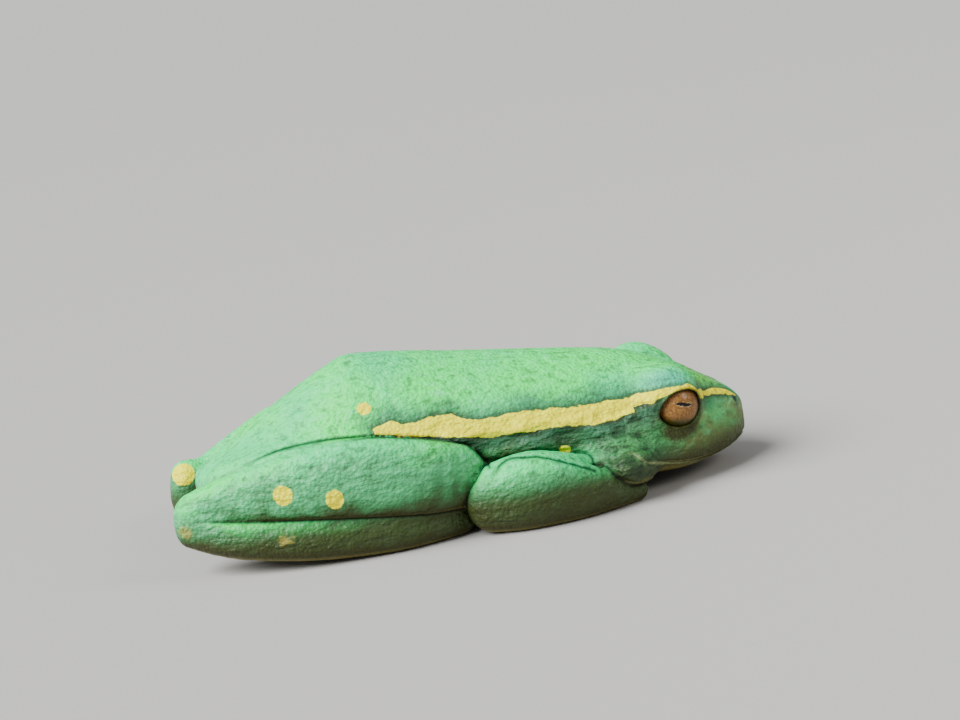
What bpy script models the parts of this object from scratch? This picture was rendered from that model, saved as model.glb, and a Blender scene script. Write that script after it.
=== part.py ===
"""Yellow-striped reed frog, life size, crouched with its limbs folded under it as it rests by day.

All sizes below are real millimetres: +X runs to the snout, +Y to the frog's left, +Z up from the floor.
The trunk and head are one loft through five guide lines, the limbs are tubes of oval section.
Each limb presses into what lies inside it, so the inner piece is cut by the outer one, a gap apart.
"""
import math

import bmesh
import bpy
from mathutils import Matrix, Vector

MM = 0.001
GAP = 0.3
SIDES = (("right", 1.0), ("left", -1.0))

# Sections of trunk and head from vent to snout. Each holds x, the height of the back line, the width and
# height of the shoulder line where the yellow stripe runs, of the flank or lip line and of the lower
# line, and the height of the belly line. Widths are from the middle to the frog's side.
BODY = (
    (-14.05, 3.82, 0.35, 3.75, 0.50, 3.50, 0.35, 3.25, 3.18),
    (-13.85, 4.32, 0.95, 4.10, 1.35, 3.50, 0.95, 2.90, 2.70),
    (-13.00, 4.85, 1.60, 4.52, 2.35, 3.70, 1.75, 2.35, 1.95),
    (-11.30, 5.95, 2.20, 5.38, 3.20, 4.05, 2.55, 1.90, 1.20),
    (-8.70, 7.45, 2.60, 6.70, 4.05, 4.60, 3.30, 1.50, 0.50),
    (-6.30, 8.68, 2.85, 7.80, 4.60, 5.10, 3.80, 1.40, 0.00),
    (-4.90, 9.16, 2.95, 8.20, 4.75, 5.25, 3.95, 1.35, -0.15),
    (-2.50, 8.92, 3.15, 7.95, 5.05, 5.25, 4.20, 1.35, -0.20),
    (0.50, 8.45, 3.20, 7.50, 5.15, 5.05, 4.30, 1.40, -0.20),
    (3.50, 8.00, 3.15, 7.10, 5.10, 4.85, 4.35, 1.45, -0.15),
    (6.20, 7.60, 3.05, 6.78, 4.95, 4.50, 4.60, 1.55, 0.10),
    (8.40, 7.22, 2.95, 6.45, 4.95, 3.70, 4.80, 1.55, 0.35),
    (10.00, 6.82, 2.85, 6.10, 4.95, 2.95, 4.55, 1.20, 0.20),
    (11.60, 6.18, 2.55, 5.62, 4.60, 2.35, 3.90, 0.95, 0.15),
    (13.00, 5.42, 2.10, 5.10, 3.90, 2.05, 3.15, 0.93, 0.38),
    (14.30, 4.62, 1.70, 4.38, 2.95, 1.95, 2.35, 1.05, 0.70),
    (15.25, 4.02, 1.30, 3.80, 1.95, 2.05, 1.60, 1.28, 0.98),
    (15.85, 3.45, 0.80, 3.30, 1.05, 2.25, 0.90, 1.58, 1.38),
    (16.08, 2.80, 0.12, 2.76, 0.18, 2.50, 0.12, 2.25, 2.22),
)
BODY_RINGS_A_SPAN = 2
BODY_STEPS_A_CORNER = 4

# Limb stations: x, y of the frog's right side, z, half height, half width.
THIGH = (
    (-12.00, -2.70, 3.90, 1.15, 1.20),
    (-9.60, -3.90, 4.20, 1.50, 1.45),
    (-6.20, -4.80, 4.25, 1.62, 1.50),
    (-3.20, -5.30, 3.90, 1.45, 1.35),
    (-1.40, -5.55, 3.45, 1.25, 1.15),
)
SHANK = (
    (-0.45, -6.10, 3.03, 1.78, 1.00),
    (-2.40, -6.60, 3.41, 2.15, 1.25),
    (-5.20, -6.80, 3.90, 2.28, 1.32),
    (-8.20, -6.65, 3.99, 1.99, 1.24),
    (-11.00, -6.05, 3.90, 1.52, 1.10),
    (-13.00, -5.40, 3.80, 1.05, 1.00),
    (-14.15, -5.00, 3.54, 0.84, 0.92),
)
TARSUS = (
    (-14.25, -5.10, 2.66, 1.18, 0.92),
    (-12.40, -5.95, 2.04, 1.16, 1.00),
    (-10.00, -6.55, 1.66, 1.19, 1.05),
    (-7.60, -6.80, 1.36, 1.18, 1.08),
    (-6.30, -6.79, 1.23, 1.14, 1.07),
)
SOLE = (
    (-6.90, -6.80, 1.29, 1.15, 1.07),
    (-4.40, -6.72, 1.05, 1.07, 1.06),
    (-2.40, -6.35, 0.91, 0.93, 0.98),
    (-0.80, -5.70, 0.79, 0.81, 0.86),
)
UPPER_ARM = (
    (7.20, -4.10, 1.50, 0.85, 0.85),
    (5.30, -5.50, 2.20, 0.98, 0.92),
    (3.20, -6.25, 2.80, 1.08, 1.00),
    (1.30, -6.45, 2.58, 1.05, 0.97),
)
FOREARM = (
    (0.80, -6.80, 1.52, 1.48, 0.98),
    (2.10, -7.00, 1.80, 1.86, 1.15),
    (3.40, -7.00, 1.78, 1.86, 1.20),
    (5.30, -6.70, 1.40, 1.54, 1.10),
    (7.20, -6.10, 0.98, 1.04, 0.92),
    (8.50, -5.45, 0.70, 0.76, 0.70),
)
PALM = (
    (8.65, -5.10, 0.60, 0.60, 0.62),
    (8.70, -4.15, 0.54, 0.54, 0.80),
    (8.45, -3.35, 0.50, 0.50, 0.75),
)
END_RINGS = 2
LIMB_SQUARENESS = 2.4
# The left heel lies lower and a little further back than the right one, so that leg settles behind here.
SETTLE_FROM_X = -9.0
SETTLE_LENGTH = 5.0
LEFT_HEEL_DROP = 1.15
LEFT_HEEL_BACK = 0.45
LEFT_HEEL_THINNER = 0.10
LEFT_HEEL_KNOB = (-14.60, 4.85, 2.95)
LEFT_HEEL_KNOB_RADIUS = 0.95

# Toes and fingers: root x, y, tip x, y. Each is a thin tube that widens to a climbing disc.
TOES = (
    (-1.30, -5.60, 0.55, -4.95),
    (-1.10, -5.35, 2.35, -4.55),
    (-1.00, -5.05, 4.60, -3.95),
    (-1.20, -4.75, 3.05, -3.05),
    (-1.50, -4.55, 0.90, -2.90),
)
FINGERS = (
    (8.70, -3.90, 9.20, -0.95),
    (8.55, -3.70, 8.20, -0.65),
    (8.35, -3.60, 7.15, -0.95),
    (8.15, -3.80, 6.40, -2.20),
)
DIGIT_HALF_HEIGHT = 0.38
DIGIT_HALF_WIDTH = 0.34
DISC_HALF_WIDTH = 0.52
# Share of the way from root to tip, and width there as a multiple of the digit's own width.
DISC_WIDENING = DISC_HALF_WIDTH / DIGIT_HALF_WIDTH
DIGIT_SHAPE = ((0.0, 1.15), (0.45, 1.0), (0.72, 0.95), (0.88, DISC_WIDENING), (1.0, 1.35))
DIGIT_SQUARENESS = 2.2
DIGIT_SEGMENTS = 7

NECK_X = 7.45
# The throat bulges out over the forearm on each side of the neck.
THROAT_BAG = (8.20, -4.75, 1.85)
THROAT_BAG_RADII = (1.95, 2.12, 1.30)
# The lip line seen from the side, from the corner of the mouth to the tip of the snout: x, z.
MOUTH_LINE = (
    (8.40, 2.87),
    (8.95, 2.49),
    (9.60, 2.09),
    (10.85, 1.52),
    (12.60, 1.18),
    (14.25, 1.22),
    (15.50, 1.47),
    (16.60, 1.75),
)
JAW_REACH = 8.0

EYE_CENTRE = (11.68, -3.20, 4.14)
EYE_RADIUS = 1.35
EYE_GAP = 0.2
BROW_CENTRE = (10.95, -2.55, 4.40)
BROW_RADII = (2.40, 1.98, 2.02)
EYE_BULGE_CENTRE = (11.65, -2.95, 4.20)
EYE_BULGE_RADIUS = 1.72
LID_RING_Y = -4.36
LID_RING_RADIUS = 1.20
LID_RADIUS = 0.20
NOSTRIL = (15.28, -1.34, 3.50)
NOSTRIL_RADIUS = 0.18
NOSTRIL_RIM = 0.13
NOSTRIL_PIT_OFFSET = (0.12, -0.20, 0.10)

BEYOND = 30.0
SHARP_EDGE_DEGREES = 50

SKIN_GREEN = (0.13, 0.36, 0.19, 1.0)
LIMB_GREEN = (0.12, 0.33, 0.17, 1.0)
DIGIT_YELLOW = (0.52, 0.42, 0.08, 1.0)
JAW_CREAM = (0.42, 0.45, 0.20, 1.0)
EYE_COPPER = (0.22, 0.09, 0.03, 1.0)


def bend(a, b, c, d, t):
    """The number at share t of the way from b to c, on the smooth curve through all four."""
    cubic = 1.5 * (b - c) + (d - a) / 2
    square = a - 2.5 * b + 2 * c - d / 2
    return b + t * ((c - a) / 2 + t * (square + t * cubic))


def between(rows, steps):
    """Rows of numbers on a smooth line through the given rows, with steps rows to each span."""
    padded = [rows[0], *rows, rows[-1]]
    out = []
    for i in range(len(rows) - 1):
        before, start, end, after = padded[i : i + 4]
        for k in range(steps):
            t = k / steps
            out.append(tuple(bend(*four, t) for four in zip(before, start, end, after)))
    out.append(tuple(rows[-1]))
    return out


def body_ring(row):
    """A closed section of the body, counted round from the back line down the right side."""
    x, back, shoulder_y, shoulder_z, flank_y, flank_z, low_y, low_z, belly = row
    right = [(-shoulder_y, shoulder_z), (-flank_y, flank_z), (-low_y, low_z)]
    left = [(-y, z) for y, z in reversed(right)]
    corners = [(0.0, back), *right, (0.0, belly), *left]
    loop = []
    count = len(corners)
    steps = BODY_STEPS_A_CORNER
    for i in range(count):
        around = [corners[(i + k) % count] for k in (-1, 0, 1, 2)]
        for k in range(steps):
            t = k / steps
            loop.append(tuple(bend(*four, t) for four in zip(*around)))
    return [Vector((x, y, z)) for y, z in loop]


def loft(name, rings):
    """A closed object through rings of equal count, with a fan of triangles over each end."""
    work = bmesh.new()
    loops = [[work.verts.new(point) for point in ring] for ring in rings]
    count = len(rings[0])
    for near, far in zip(loops, loops[1:]):
        for i in range(count):
            j = (i + 1) % count
            work.faces.new((near[i], near[j], far[j], far[i]))
    for loop in (loops[0], loops[-1]):
        middle = work.verts.new(sum((v.co for v in loop), Vector()) / count)
        for i in range(count):
            work.faces.new((loop[i], loop[(i + 1) % count], middle))
    return object_from(name, work)


def object_from(name, work):
    """Turns a bmesh into an object whose faces all point out."""
    bmesh.ops.recalc_face_normals(work, faces=work.faces)
    mesh = bpy.data.meshes.new(name)
    work.to_mesh(mesh)
    work.free()
    made = bpy.data.objects.new(name, mesh)
    bpy.context.scene.collection.objects.link(made)
    return made


def settled(row, side, grow):
    """A limb row on its own side of the body, grown by a gap for a cutter, with the left heel let down."""
    x, y, z, high, wide = row
    behind = max(0.0, (SETTLE_FROM_X - x) / SETTLE_LENGTH) if side < 0 else 0.0
    high *= 1 - LEFT_HEEL_THINNER * behind
    return (x - LEFT_HEEL_BACK * behind, y * side, z - LEFT_HEEL_DROP * behind, high + grow, wide + grow)


def tube(name, stations, side, grow=0.0, segments=18, steps=2, squareness=LIMB_SQUARENESS):
    """A limb of oval section through its stations, with round ends. side is 1 on the frog's right."""
    rows = [settled(row, side, grow) for row in between(stations, steps)]
    centres = [Vector(row[:3]) for row in rows]
    last = len(rows) - 1
    rings = []
    for i, (row, centre) in enumerate(zip(rows, centres)):
        along = (centres[min(i + 1, last)] - centres[max(i - 1, 0)]).normalized()
        across = along.cross(Vector((0, 0, 1))).normalized()
        upward = across.cross(along)
        high, wide = row[3], row[4]

        def ring(shrink, ahead):
            points = []
            for k in range(segments):
                angle = 2 * math.pi * k / segments
                c, s = math.cos(angle), math.sin(angle)
                flat = (abs(c) ** squareness + abs(s) ** squareness) ** (-1 / squareness)
                spoke = (across * wide * c + upward * high * s) * flat * shrink
                points.append(centre + along * ahead + spoke)
            return points

        reach = (high + wide) / 2
        if i == 0:
            for k in range(END_RINGS, 0, -1):
                turn = math.pi / 2 * k / (END_RINGS + 0.4)
                rings.append(ring(math.cos(turn), -reach * math.sin(turn)))
        rings.append(ring(1.0, 0.0))
        if i == last:
            for k in range(1, END_RINGS + 1):
                turn = math.pi / 2 * k / (END_RINGS + 0.4)
                rings.append(ring(math.cos(turn), reach * math.sin(turn)))
    return loft(name, rings)


def ball(name, centre, radii, columns=20, rows=12):
    work = bmesh.new()
    place = Matrix.Translation(centre) @ Matrix.Diagonal((*radii, 1.0))
    bmesh.ops.create_uvsphere(work, u_segments=columns, v_segments=rows, radius=1.0, matrix=place)
    return object_from(name, work)


def ring_torus(name, centre, axis_y, radius, thickness, around=18, across=6):
    """A torus whose axis runs along Y, as the rim of an eyelid does."""
    rings = []
    work = bmesh.new()
    for i in range(around):
        turn = 2 * math.pi * i / around
        out = Vector((math.cos(turn), 0, math.sin(turn)))
        middle = Vector((centre[0], axis_y, centre[2])) + out * radius
        loop = []
        for k in range(across):
            roll = 2 * math.pi * k / across
            spoke = out * math.cos(roll) + Vector((0, math.sin(roll), 0))
            loop.append(work.verts.new(middle + spoke * thickness))
        rings.append(loop)
    for i in range(around):
        for k in range(across):
            a, b = rings[i], rings[(i + 1) % around]
            m = (k + 1) % across
            work.faces.new((a[k], a[m], b[m], b[k]))
    return object_from(name, work)


def box(name, low, high):
    work = bmesh.new()
    middle = [(a + b) / 2 for a, b in zip(low, high)]
    size = [b - a for a, b in zip(low, high)]
    bmesh.ops.create_cube(work, size=1.0, matrix=Matrix.Translation(middle) @ Matrix.Diagonal((*size, 1.0)))
    return object_from(name, work)


def boolean(target, tools, operation):
    """Joins, cuts or keeps the overlap of target and the tools, applies it and removes the tools.

    The trunk comes out empty from the exact solver where the left arm is cut from it, so the meshes,
    which are all closed, go through the manifold one.
    """
    group = bpy.data.collections.new("tools")
    for tool in tools:
        bpy.context.scene.collection.objects.unlink(tool)
        group.objects.link(tool)
    bpy.context.scene.collection.children.link(group)
    step = target.modifiers.new(operation.lower(), "BOOLEAN")
    step.operation = operation
    step.operand_type = "COLLECTION"
    step.collection = group
    step.solver = "MANIFOLD"
    graph = bpy.context.evaluated_depsgraph_get()
    result = bpy.data.meshes.new_from_object(target.evaluated_get(graph))
    target.modifiers.clear()
    target.data = result
    for tool in tools:
        bpy.data.objects.remove(tool)
    bpy.data.collections.remove(group)


def shells_of(work):
    """The closed surfaces in a bmesh, as lists of faces, largest first."""
    shells = []
    seen = set()
    for start in work.faces:
        if start in seen:
            continue
        shell, queue = [], [start]
        seen.add(start)
        while queue:
            face = queue.pop()
            shell.append(face)
            for edge in face.edges:
                for other in edge.link_faces:
                    if other not in seen:
                        seen.add(other)
                        queue.append(other)
        shells.append(shell)
    return sorted(shells, key=lambda shell: -sum(face.calc_area() for face in shell))


def keep_shell(obj, rank=0):
    """Splits the faces into triangles and keeps one closed surface: 0 is the largest, 1 the next."""
    work = bmesh.new()
    work.from_mesh(obj.data)
    bmesh.ops.triangulate(work, faces=work.faces)
    for i, shell in enumerate(shells_of(work)):
        if i != rank:
            bmesh.ops.delete(work, geom=shell, context="FACES")
    work.to_mesh(obj.data)
    work.free()


def paint(obj, colour, roughness=0.5):
    material = bpy.data.materials.new(obj.name)
    material.use_nodes = True
    shader = material.node_tree.nodes["Principled BSDF"]
    shader.inputs["Base Color"].default_value = colour
    shader.inputs["Roughness"].default_value = roughness
    shader.inputs["Metallic"].default_value = 0.0
    obj.data.materials.clear()
    obj.data.materials.append(material)


def floor_cut(obj):
    """Keeps what lies above the floor, so that whatever touches it rests on a small flat."""
    boolean(obj, [box("above_floor", (-BEYOND, -BEYOND, 0), (BEYOND, BEYOND, BEYOND))], "INTERSECT")


def digit(name, row, side, grow=0.0):
    """A toe or finger with its disc, lying on the floor."""
    root = Vector((row[0], row[1], DIGIT_HALF_HEIGHT))
    tip = Vector((row[2], row[3], DIGIT_HALF_HEIGHT))
    stations = []
    for share, wide in DIGIT_SHAPE:
        point = root.lerp(tip, share)
        stations.append((point.x, point.y, point.z, DIGIT_HALF_HEIGHT, DIGIT_HALF_WIDTH * wide))
    return tube(name, stations, side, grow, DIGIT_SEGMENTS, 1, DIGIT_SQUARENESS)


def foot(name, side, grow=0.0):
    made = tube(name, SOLE, side, grow, segments=12)
    boolean(made, [digit(f"{name}_toe", row, side, grow) for row in TOES], "UNION")
    return made


def hand(name, side, grow=0.0):
    made = tube(name, PALM, side, grow, segments=12)
    boolean(made, [digit(f"{name}_finger", row, side, grow) for row in FINGERS], "UNION")
    return made


def shank(name, side, grow=0.0):
    """The lower leg. The heel of the left one stands out as a knob behind the rump."""
    made = tube(name, SHANK, side, grow)
    if side < 0:
        knob = ball(f"{name}_knob", LEFT_HEEL_KNOB, [LEFT_HEEL_KNOB_RADIUS + grow] * 3, 14, 8)
        boolean(made, [knob], "UNION")
    return made


def limb(part, side, grow=0.0):
    """Any limb piece by its name, as it is or grown by a gap to serve as a cutter."""
    name = f"{part}_cutter" if grow else part
    shapes = {
        "thigh": lambda: tube(name, THIGH, side, grow, segments=16),
        "shank": lambda: shank(name, side, grow),
        "tarsus": lambda: tube(name, TARSUS, side, grow, segments=14),
        "foot": lambda: foot(name, side, grow),
        "upper_arm": lambda: tube(name, UPPER_ARM, side, grow, segments=14),
        "forearm": lambda: tube(name, FOREARM, side, grow),
        "hand": lambda: hand(name, side, grow),
    }
    return shapes[part]()


# What presses into each piece from outside, and so cuts it.
PRESSED_BY = {
    "forearm": (),
    "upper_arm": ("forearm",),
    "hand": ("forearm",),
    "shank": ("upper_arm", "forearm"),
    "tarsus": ("shank",),
    "foot": ("tarsus", "shank", "forearm", "upper_arm"),
    "thigh": ("shank", "tarsus", "foot", "upper_arm", "forearm"),
}


def mouth_cutters():
    """A sheet, a gap thick, along the lip line, and one that drops behind the lower jaw."""
    half = GAP / 2
    corner_x, corner_z = MOUTH_LINE[0]
    line = [Vector((x, 0, z)) for x, z in MOUTH_LINE]
    outer, inner = [], []
    for i, point in enumerate(line):
        along = (line[min(i + 1, len(line) - 1)] - line[max(i - 1, 0)]).normalized()
        normal = Vector((-along.z, 0, along.x))
        outer.append(point + normal * half)
        inner.append(point - normal * half)
    outline = outer + inner[::-1]
    work = bmesh.new()
    rows = [[work.verts.new((p.x, y, p.z)) for p in outline] for y in (-JAW_REACH, JAW_REACH)]
    count = len(outline)
    for i in range(count):
        j = (i + 1) % count
        work.faces.new((rows[0][i], rows[0][j], rows[1][j], rows[1][i]))
    work.faces.new(rows[0])
    work.faces.new(rows[1][::-1])
    bmesh.ops.triangulate(work, faces=[f for f in work.faces if len(f.verts) > 4])
    lips = object_from("lip_cutter", work)
    back_low = (corner_x - half, -JAW_REACH, -JAW_REACH)
    back_high = (corner_x + half, JAW_REACH, corner_z)
    return [lips, box("jaw_back_cutter", back_low, back_high)]


def mirrored(point, side):
    return (point[0], point[1] * side, point[2])


def trunk(name, body_rings, low_x, high_x):
    """The stretch of trunk, throat and head between two cuts across the body."""
    made = loft(name, body_rings)
    for _, side in SIDES:
        boolean(made, [ball(f"bag_{name}", mirrored(THROAT_BAG, side), THROAT_BAG_RADII)], "UNION")
    stretch = box("stretch", (low_x, -BEYOND, -BEYOND), (high_x, BEYOND, BEYOND))
    boolean(made, [stretch], "INTERSECT")
    return made


def make_head_and_jaw(body_rings):
    head = trunk("head", body_rings, NECK_X + GAP / 2, BEYOND)
    brows, rims, sockets, nostrils = [], [], [], []
    for name, side in SIDES:
        brows.append(ball(f"brow_{name}", mirrored(BROW_CENTRE, side), BROW_RADII, 18, 10))
        brows.append(ball(f"bulge_{name}", mirrored(EYE_BULGE_CENTRE, side), [EYE_BULGE_RADIUS] * 3, 16, 10))
        rims.append(ring_torus(f"lid_{name}", EYE_CENTRE, LID_RING_Y * side, LID_RING_RADIUS, LID_RADIUS))
        rim_radii = [NOSTRIL_RADIUS + NOSTRIL_RIM] * 3
        rims.append(ball(f"nostril_rim_{name}", mirrored(NOSTRIL, side), rim_radii, 10, 6))
        sockets.append(ball(f"socket_{name}", mirrored(EYE_CENTRE, side), [EYE_RADIUS + EYE_GAP] * 3))
        pit = Vector(mirrored(NOSTRIL, side)) + Vector(mirrored(NOSTRIL_PIT_OFFSET, side))
        nostrils.append(ball(f"nostril_{name}", pit, [NOSTRIL_RADIUS] * 3, 8, 6))
    boolean(head, brows, "UNION")
    boolean(head, rims, "UNION")
    boolean(head, sockets + nostrils, "DIFFERENCE")
    boolean(head, mouth_cutters(), "DIFFERENCE")
    jaw = head.copy()
    jaw.data = head.data.copy()
    jaw.name = "lower_jaw"
    bpy.context.scene.collection.objects.link(jaw)
    keep_shell(head, 0)
    keep_shell(jaw, 1)
    return head, jaw


def main():
    for old in list(bpy.data.objects):
        bpy.data.objects.remove(old)

    body_rings = [body_ring(row) for row in between(BODY, BODY_RINGS_A_SPAN)]
    nodes = []

    for side_name, side in SIDES:
        for part, presses in PRESSED_BY.items():
            piece = limb(part, side)
            if presses:
                boolean(piece, [limb(other, side, GAP) for other in presses], "DIFFERENCE")
            floor_cut(piece)
            keep_shell(piece)
            piece.name = f"{part}_{side_name}"
            paint(piece, DIGIT_YELLOW if part in ("hand", "foot") else LIMB_GREEN)
            nodes.append(piece)
        eye = ball(f"eye_{side_name}", mirrored(EYE_CENTRE, side), [EYE_RADIUS] * 3)
        paint(eye, EYE_COPPER, 0.08)
        nodes.append(eye)

    torso = trunk("torso", body_rings, -BEYOND, NECK_X - GAP / 2)
    for _, side in SIDES:
        for part in PRESSED_BY:
            boolean(torso, [limb(part, side, GAP)], "DIFFERENCE")
    floor_cut(torso)
    keep_shell(torso)
    paint(torso, SKIN_GREEN)

    head, jaw = make_head_and_jaw(body_rings)
    for piece in (head, jaw):
        for _, side in SIDES:
            tools = [limb(part, side, GAP) for part in ("hand", "forearm", "upper_arm")]
            boolean(piece, tools, "DIFFERENCE")
        floor_cut(piece)
        keep_shell(piece)
    paint(head, SKIN_GREEN)
    paint(jaw, JAW_CREAM)
    nodes += [torso, head, jaw]

    for node in nodes:
        node.data.transform(Matrix.Scale(MM, 4))
        node.data.shade_smooth()
        node.data.set_sharp_from_angle(angle=math.radians(SHARP_EDGE_DEGREES))
        print(node.name, len(node.data.polygons), "triangles")


main()
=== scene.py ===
# %% [markdown]
# # A yellow-striped reed frog, life size
#
# This lesson builds a crouched reed frog, 30 mm from snout to vent, around a set of plain solids that
# already have its size and pose. A living frog has one unbroken skin, so most of the work goes into one
# skin mesh. Everything is worked out in millimetres and scaled to metres when a mesh is made.

# %% Load the frame
import math
import time

import bpy
import numpy as np
from mathutils import Matrix, Vector


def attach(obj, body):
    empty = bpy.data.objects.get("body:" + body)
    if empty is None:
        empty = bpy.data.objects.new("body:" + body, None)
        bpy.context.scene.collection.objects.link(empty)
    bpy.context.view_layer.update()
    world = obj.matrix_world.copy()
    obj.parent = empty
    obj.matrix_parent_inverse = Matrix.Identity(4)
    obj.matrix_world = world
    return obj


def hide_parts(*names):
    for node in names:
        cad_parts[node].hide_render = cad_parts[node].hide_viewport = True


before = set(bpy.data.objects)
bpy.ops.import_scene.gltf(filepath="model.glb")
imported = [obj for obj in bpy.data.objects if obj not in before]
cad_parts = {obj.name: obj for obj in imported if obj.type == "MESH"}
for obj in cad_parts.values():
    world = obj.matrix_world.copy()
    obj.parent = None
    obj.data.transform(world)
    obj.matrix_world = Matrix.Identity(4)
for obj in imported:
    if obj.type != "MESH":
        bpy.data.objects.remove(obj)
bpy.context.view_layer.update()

MM = 0.001
SIDES = {"right": 1.0, "left": -1.0}

# %% [markdown]
# ## The camera
#
# The picture looks at the frog's right side from a little above and behind, and the camera is rolled so
# that the floor climbs to the right. The frog itself lies level. The lens is long for so small an animal,
# which keeps the near and far legs close in size.

# %% Place the camera
CAMERA_AZIMUTH = -6.0
CAMERA_ELEVATION = 11.5
CAMERA_ROLL = 8.5
CAMERA_LENS = 80.0
CAMERA_SENSOR = 36.0
CAMERA_DISTANCE = 115.26
CAMERA_AIM = (2.10, 0.0, 7.69)
CLIP_START = 0.001
CLIP_END = 90.0


def linked(name, data):
    """A new object in the scene that holds the given mesh, light or other data."""
    made = bpy.data.objects.new(name, data)
    bpy.context.scene.collection.objects.link(made)
    return made


def add_camera():
    """A camera on a circle round its aim, turned, raised and rolled by degrees."""
    turn, rise, roll = (math.radians(a) for a in (CAMERA_AZIMUTH, CAMERA_ELEVATION, CAMERA_ROLL))
    back = Vector((math.sin(turn) * math.cos(rise), -math.cos(turn) * math.cos(rise), math.sin(rise)))
    level = Vector((math.cos(turn), math.sin(turn), 0.0))
    upright = back.cross(level)
    right = level * math.cos(roll) - upright * math.sin(roll)
    up = level * math.sin(roll) + upright * math.cos(roll)
    camera = linked("camera", bpy.data.cameras.new("camera"))
    camera.data.lens = CAMERA_LENS
    camera.data.sensor_width = CAMERA_SENSOR
    camera.data.clip_start = CLIP_START
    camera.data.clip_end = CLIP_END
    place = Matrix((right, up, back)).transposed().to_4x4()
    place.translation = (Vector(CAMERA_AIM) + back * CAMERA_DISTANCE) * MM
    camera.matrix_world = place
    bpy.context.scene.camera = camera
    return camera


camera = add_camera()
print("camera at", [round(v / MM, 1) for v in camera.location], "mm")

# %% [markdown]
# ## The trunk and head as sections
#
# A loft could join these sections with faces, but the legs have to melt into it at the hips and press
# against it elsewhere. So each shape is kept as a distance instead: a function that is negative inside,
# zero on the surface and positive outside. Distances blend with one line of arithmetic. Each section
# below holds x, then the heights and widths of its guide points from the back to the belly, and a table
# of radii round the middle of each section turns it into a distance.

# %% Sections of trunk and head
BODY = (
    (-14.05, 3.82, 0.35, 3.75, 0.50, 3.50, 0.35, 3.25, 3.18),
    (-13.85, 4.32, 0.95, 4.10, 1.35, 3.50, 0.95, 2.90, 2.70),
    (-13.00, 4.85, 1.60, 4.52, 2.35, 3.70, 1.75, 2.35, 1.95),
    (-11.30, 5.95, 2.20, 5.38, 3.20, 4.05, 2.55, 1.90, 1.20),
    (-8.70, 7.45, 2.60, 6.70, 4.05, 4.60, 3.30, 1.50, 0.50),
    (-6.30, 8.68, 2.85, 7.80, 4.60, 5.10, 3.80, 1.40, 0.00),
    (-4.90, 9.16, 2.95, 8.20, 4.75, 5.25, 3.95, 1.35, -0.15),
    (-2.50, 8.92, 3.15, 7.95, 5.05, 5.25, 4.20, 1.35, -0.20),
    (0.50, 8.45, 3.20, 7.50, 5.15, 5.05, 4.30, 1.40, -0.20),
    (3.50, 8.00, 3.15, 7.10, 5.10, 4.85, 4.35, 1.45, -0.15),
    (6.20, 7.60, 3.05, 6.78, 4.95, 4.50, 4.60, 1.55, 0.10),
    (8.40, 7.22, 2.95, 6.45, 4.95, 3.70, 4.80, 1.55, 0.35),
    (10.00, 6.82, 2.85, 6.10, 4.95, 2.95, 4.55, 1.20, 0.20),
    (11.60, 6.18, 2.55, 5.62, 4.60, 2.35, 3.90, 0.95, 0.15),
    (13.00, 5.42, 2.10, 5.10, 3.90, 2.05, 3.15, 0.93, 0.38),
    (14.30, 4.62, 1.70, 4.38, 2.95, 1.95, 2.35, 1.05, 0.70),
    (15.25, 4.02, 1.30, 3.80, 1.95, 2.05, 1.60, 1.28, 0.98),
    (15.85, 3.45, 0.80, 3.30, 1.05, 2.25, 0.90, 1.58, 1.38),
    (16.08, 2.80, 0.12, 2.76, 0.18, 2.50, 0.12, 2.25, 2.22),
)
print(len(BODY), "sections over", BODY[-1][0] - BODY[0][0], "mm")

# %% A smooth line through rows


def between(rows, steps):
    """Rows on a smooth line through the given rows, with steps rows to each span."""
    rows = np.asarray(rows, float)
    padded = np.vstack([rows[:1], rows, rows[-1:]])
    a, b, c, d = padded[:-3], padded[1:-2], padded[2:-1], padded[3:]
    out = []
    for k in range(steps):
        t = k / steps
        cubic = 1.5 * (b - c) + (d - a) / 2
        square = a - 2.5 * b + 2 * c - d / 2
        out.append(b + t * ((c - a) / 2 + t * (square + t * cubic)))
    line = np.stack(out, 1).reshape(-1, rows.shape[1])
    return np.vstack([line, rows[-1:]])


print("sections made dense:", len(between(BODY, 10)))

# %% Radii round the middle of each section
STEPS_ALONG = 10
STEPS_ROUND = 12
BODY_X_SAMPLES = 420
BODY_TURN_SAMPLES = 72
SMALLEST_RADIUS = 0.2
STEEPEST = 3.0


def section_radii():
    """Radius round each section's middle, by x and by angle from belly to back, and that middle's height."""
    rows = between(BODY, STEPS_ALONG)
    turns = np.linspace(-math.pi / 2, math.pi / 2, BODY_TURN_SAMPLES)
    middles, radii = [], []
    for _, back, y1, z1, y2, z2, y3, z3, belly in rows:
        half = np.array([(y1, z1), (y2, z2), (y3, z3)])
        loop = np.vstack([[(0, back)], half, [(0, belly)], half[::-1] * (-1, 1), [(0, back)], half[:1]])
        loop = np.vstack([half[:1] * (-1, 1), loop])
        curve = between(loop, STEPS_ROUND)[STEPS_ROUND:]
        middle = (back + belly) / 2
        angle = np.arctan2(curve[:, 1] - middle, curve[:, 0])
        reach = np.hypot(curve[:, 0], curve[:, 1] - middle)
        keep = curve[:, 0] > -1e-9
        order = np.argsort(angle[keep])
        radii.append(np.interp(turns, angle[keep][order], reach[keep][order]))
        middles.append(middle)
    xs = np.linspace(BODY[0][0], BODY[-1][0], BODY_X_SAMPLES)
    radii = np.array(radii)
    table = np.stack([np.interp(xs, rows[:, 0], radii[:, k]) for k in range(BODY_TURN_SAMPLES)], 1)
    return xs, turns, table, np.interp(xs, rows[:, 0], middles)


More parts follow.
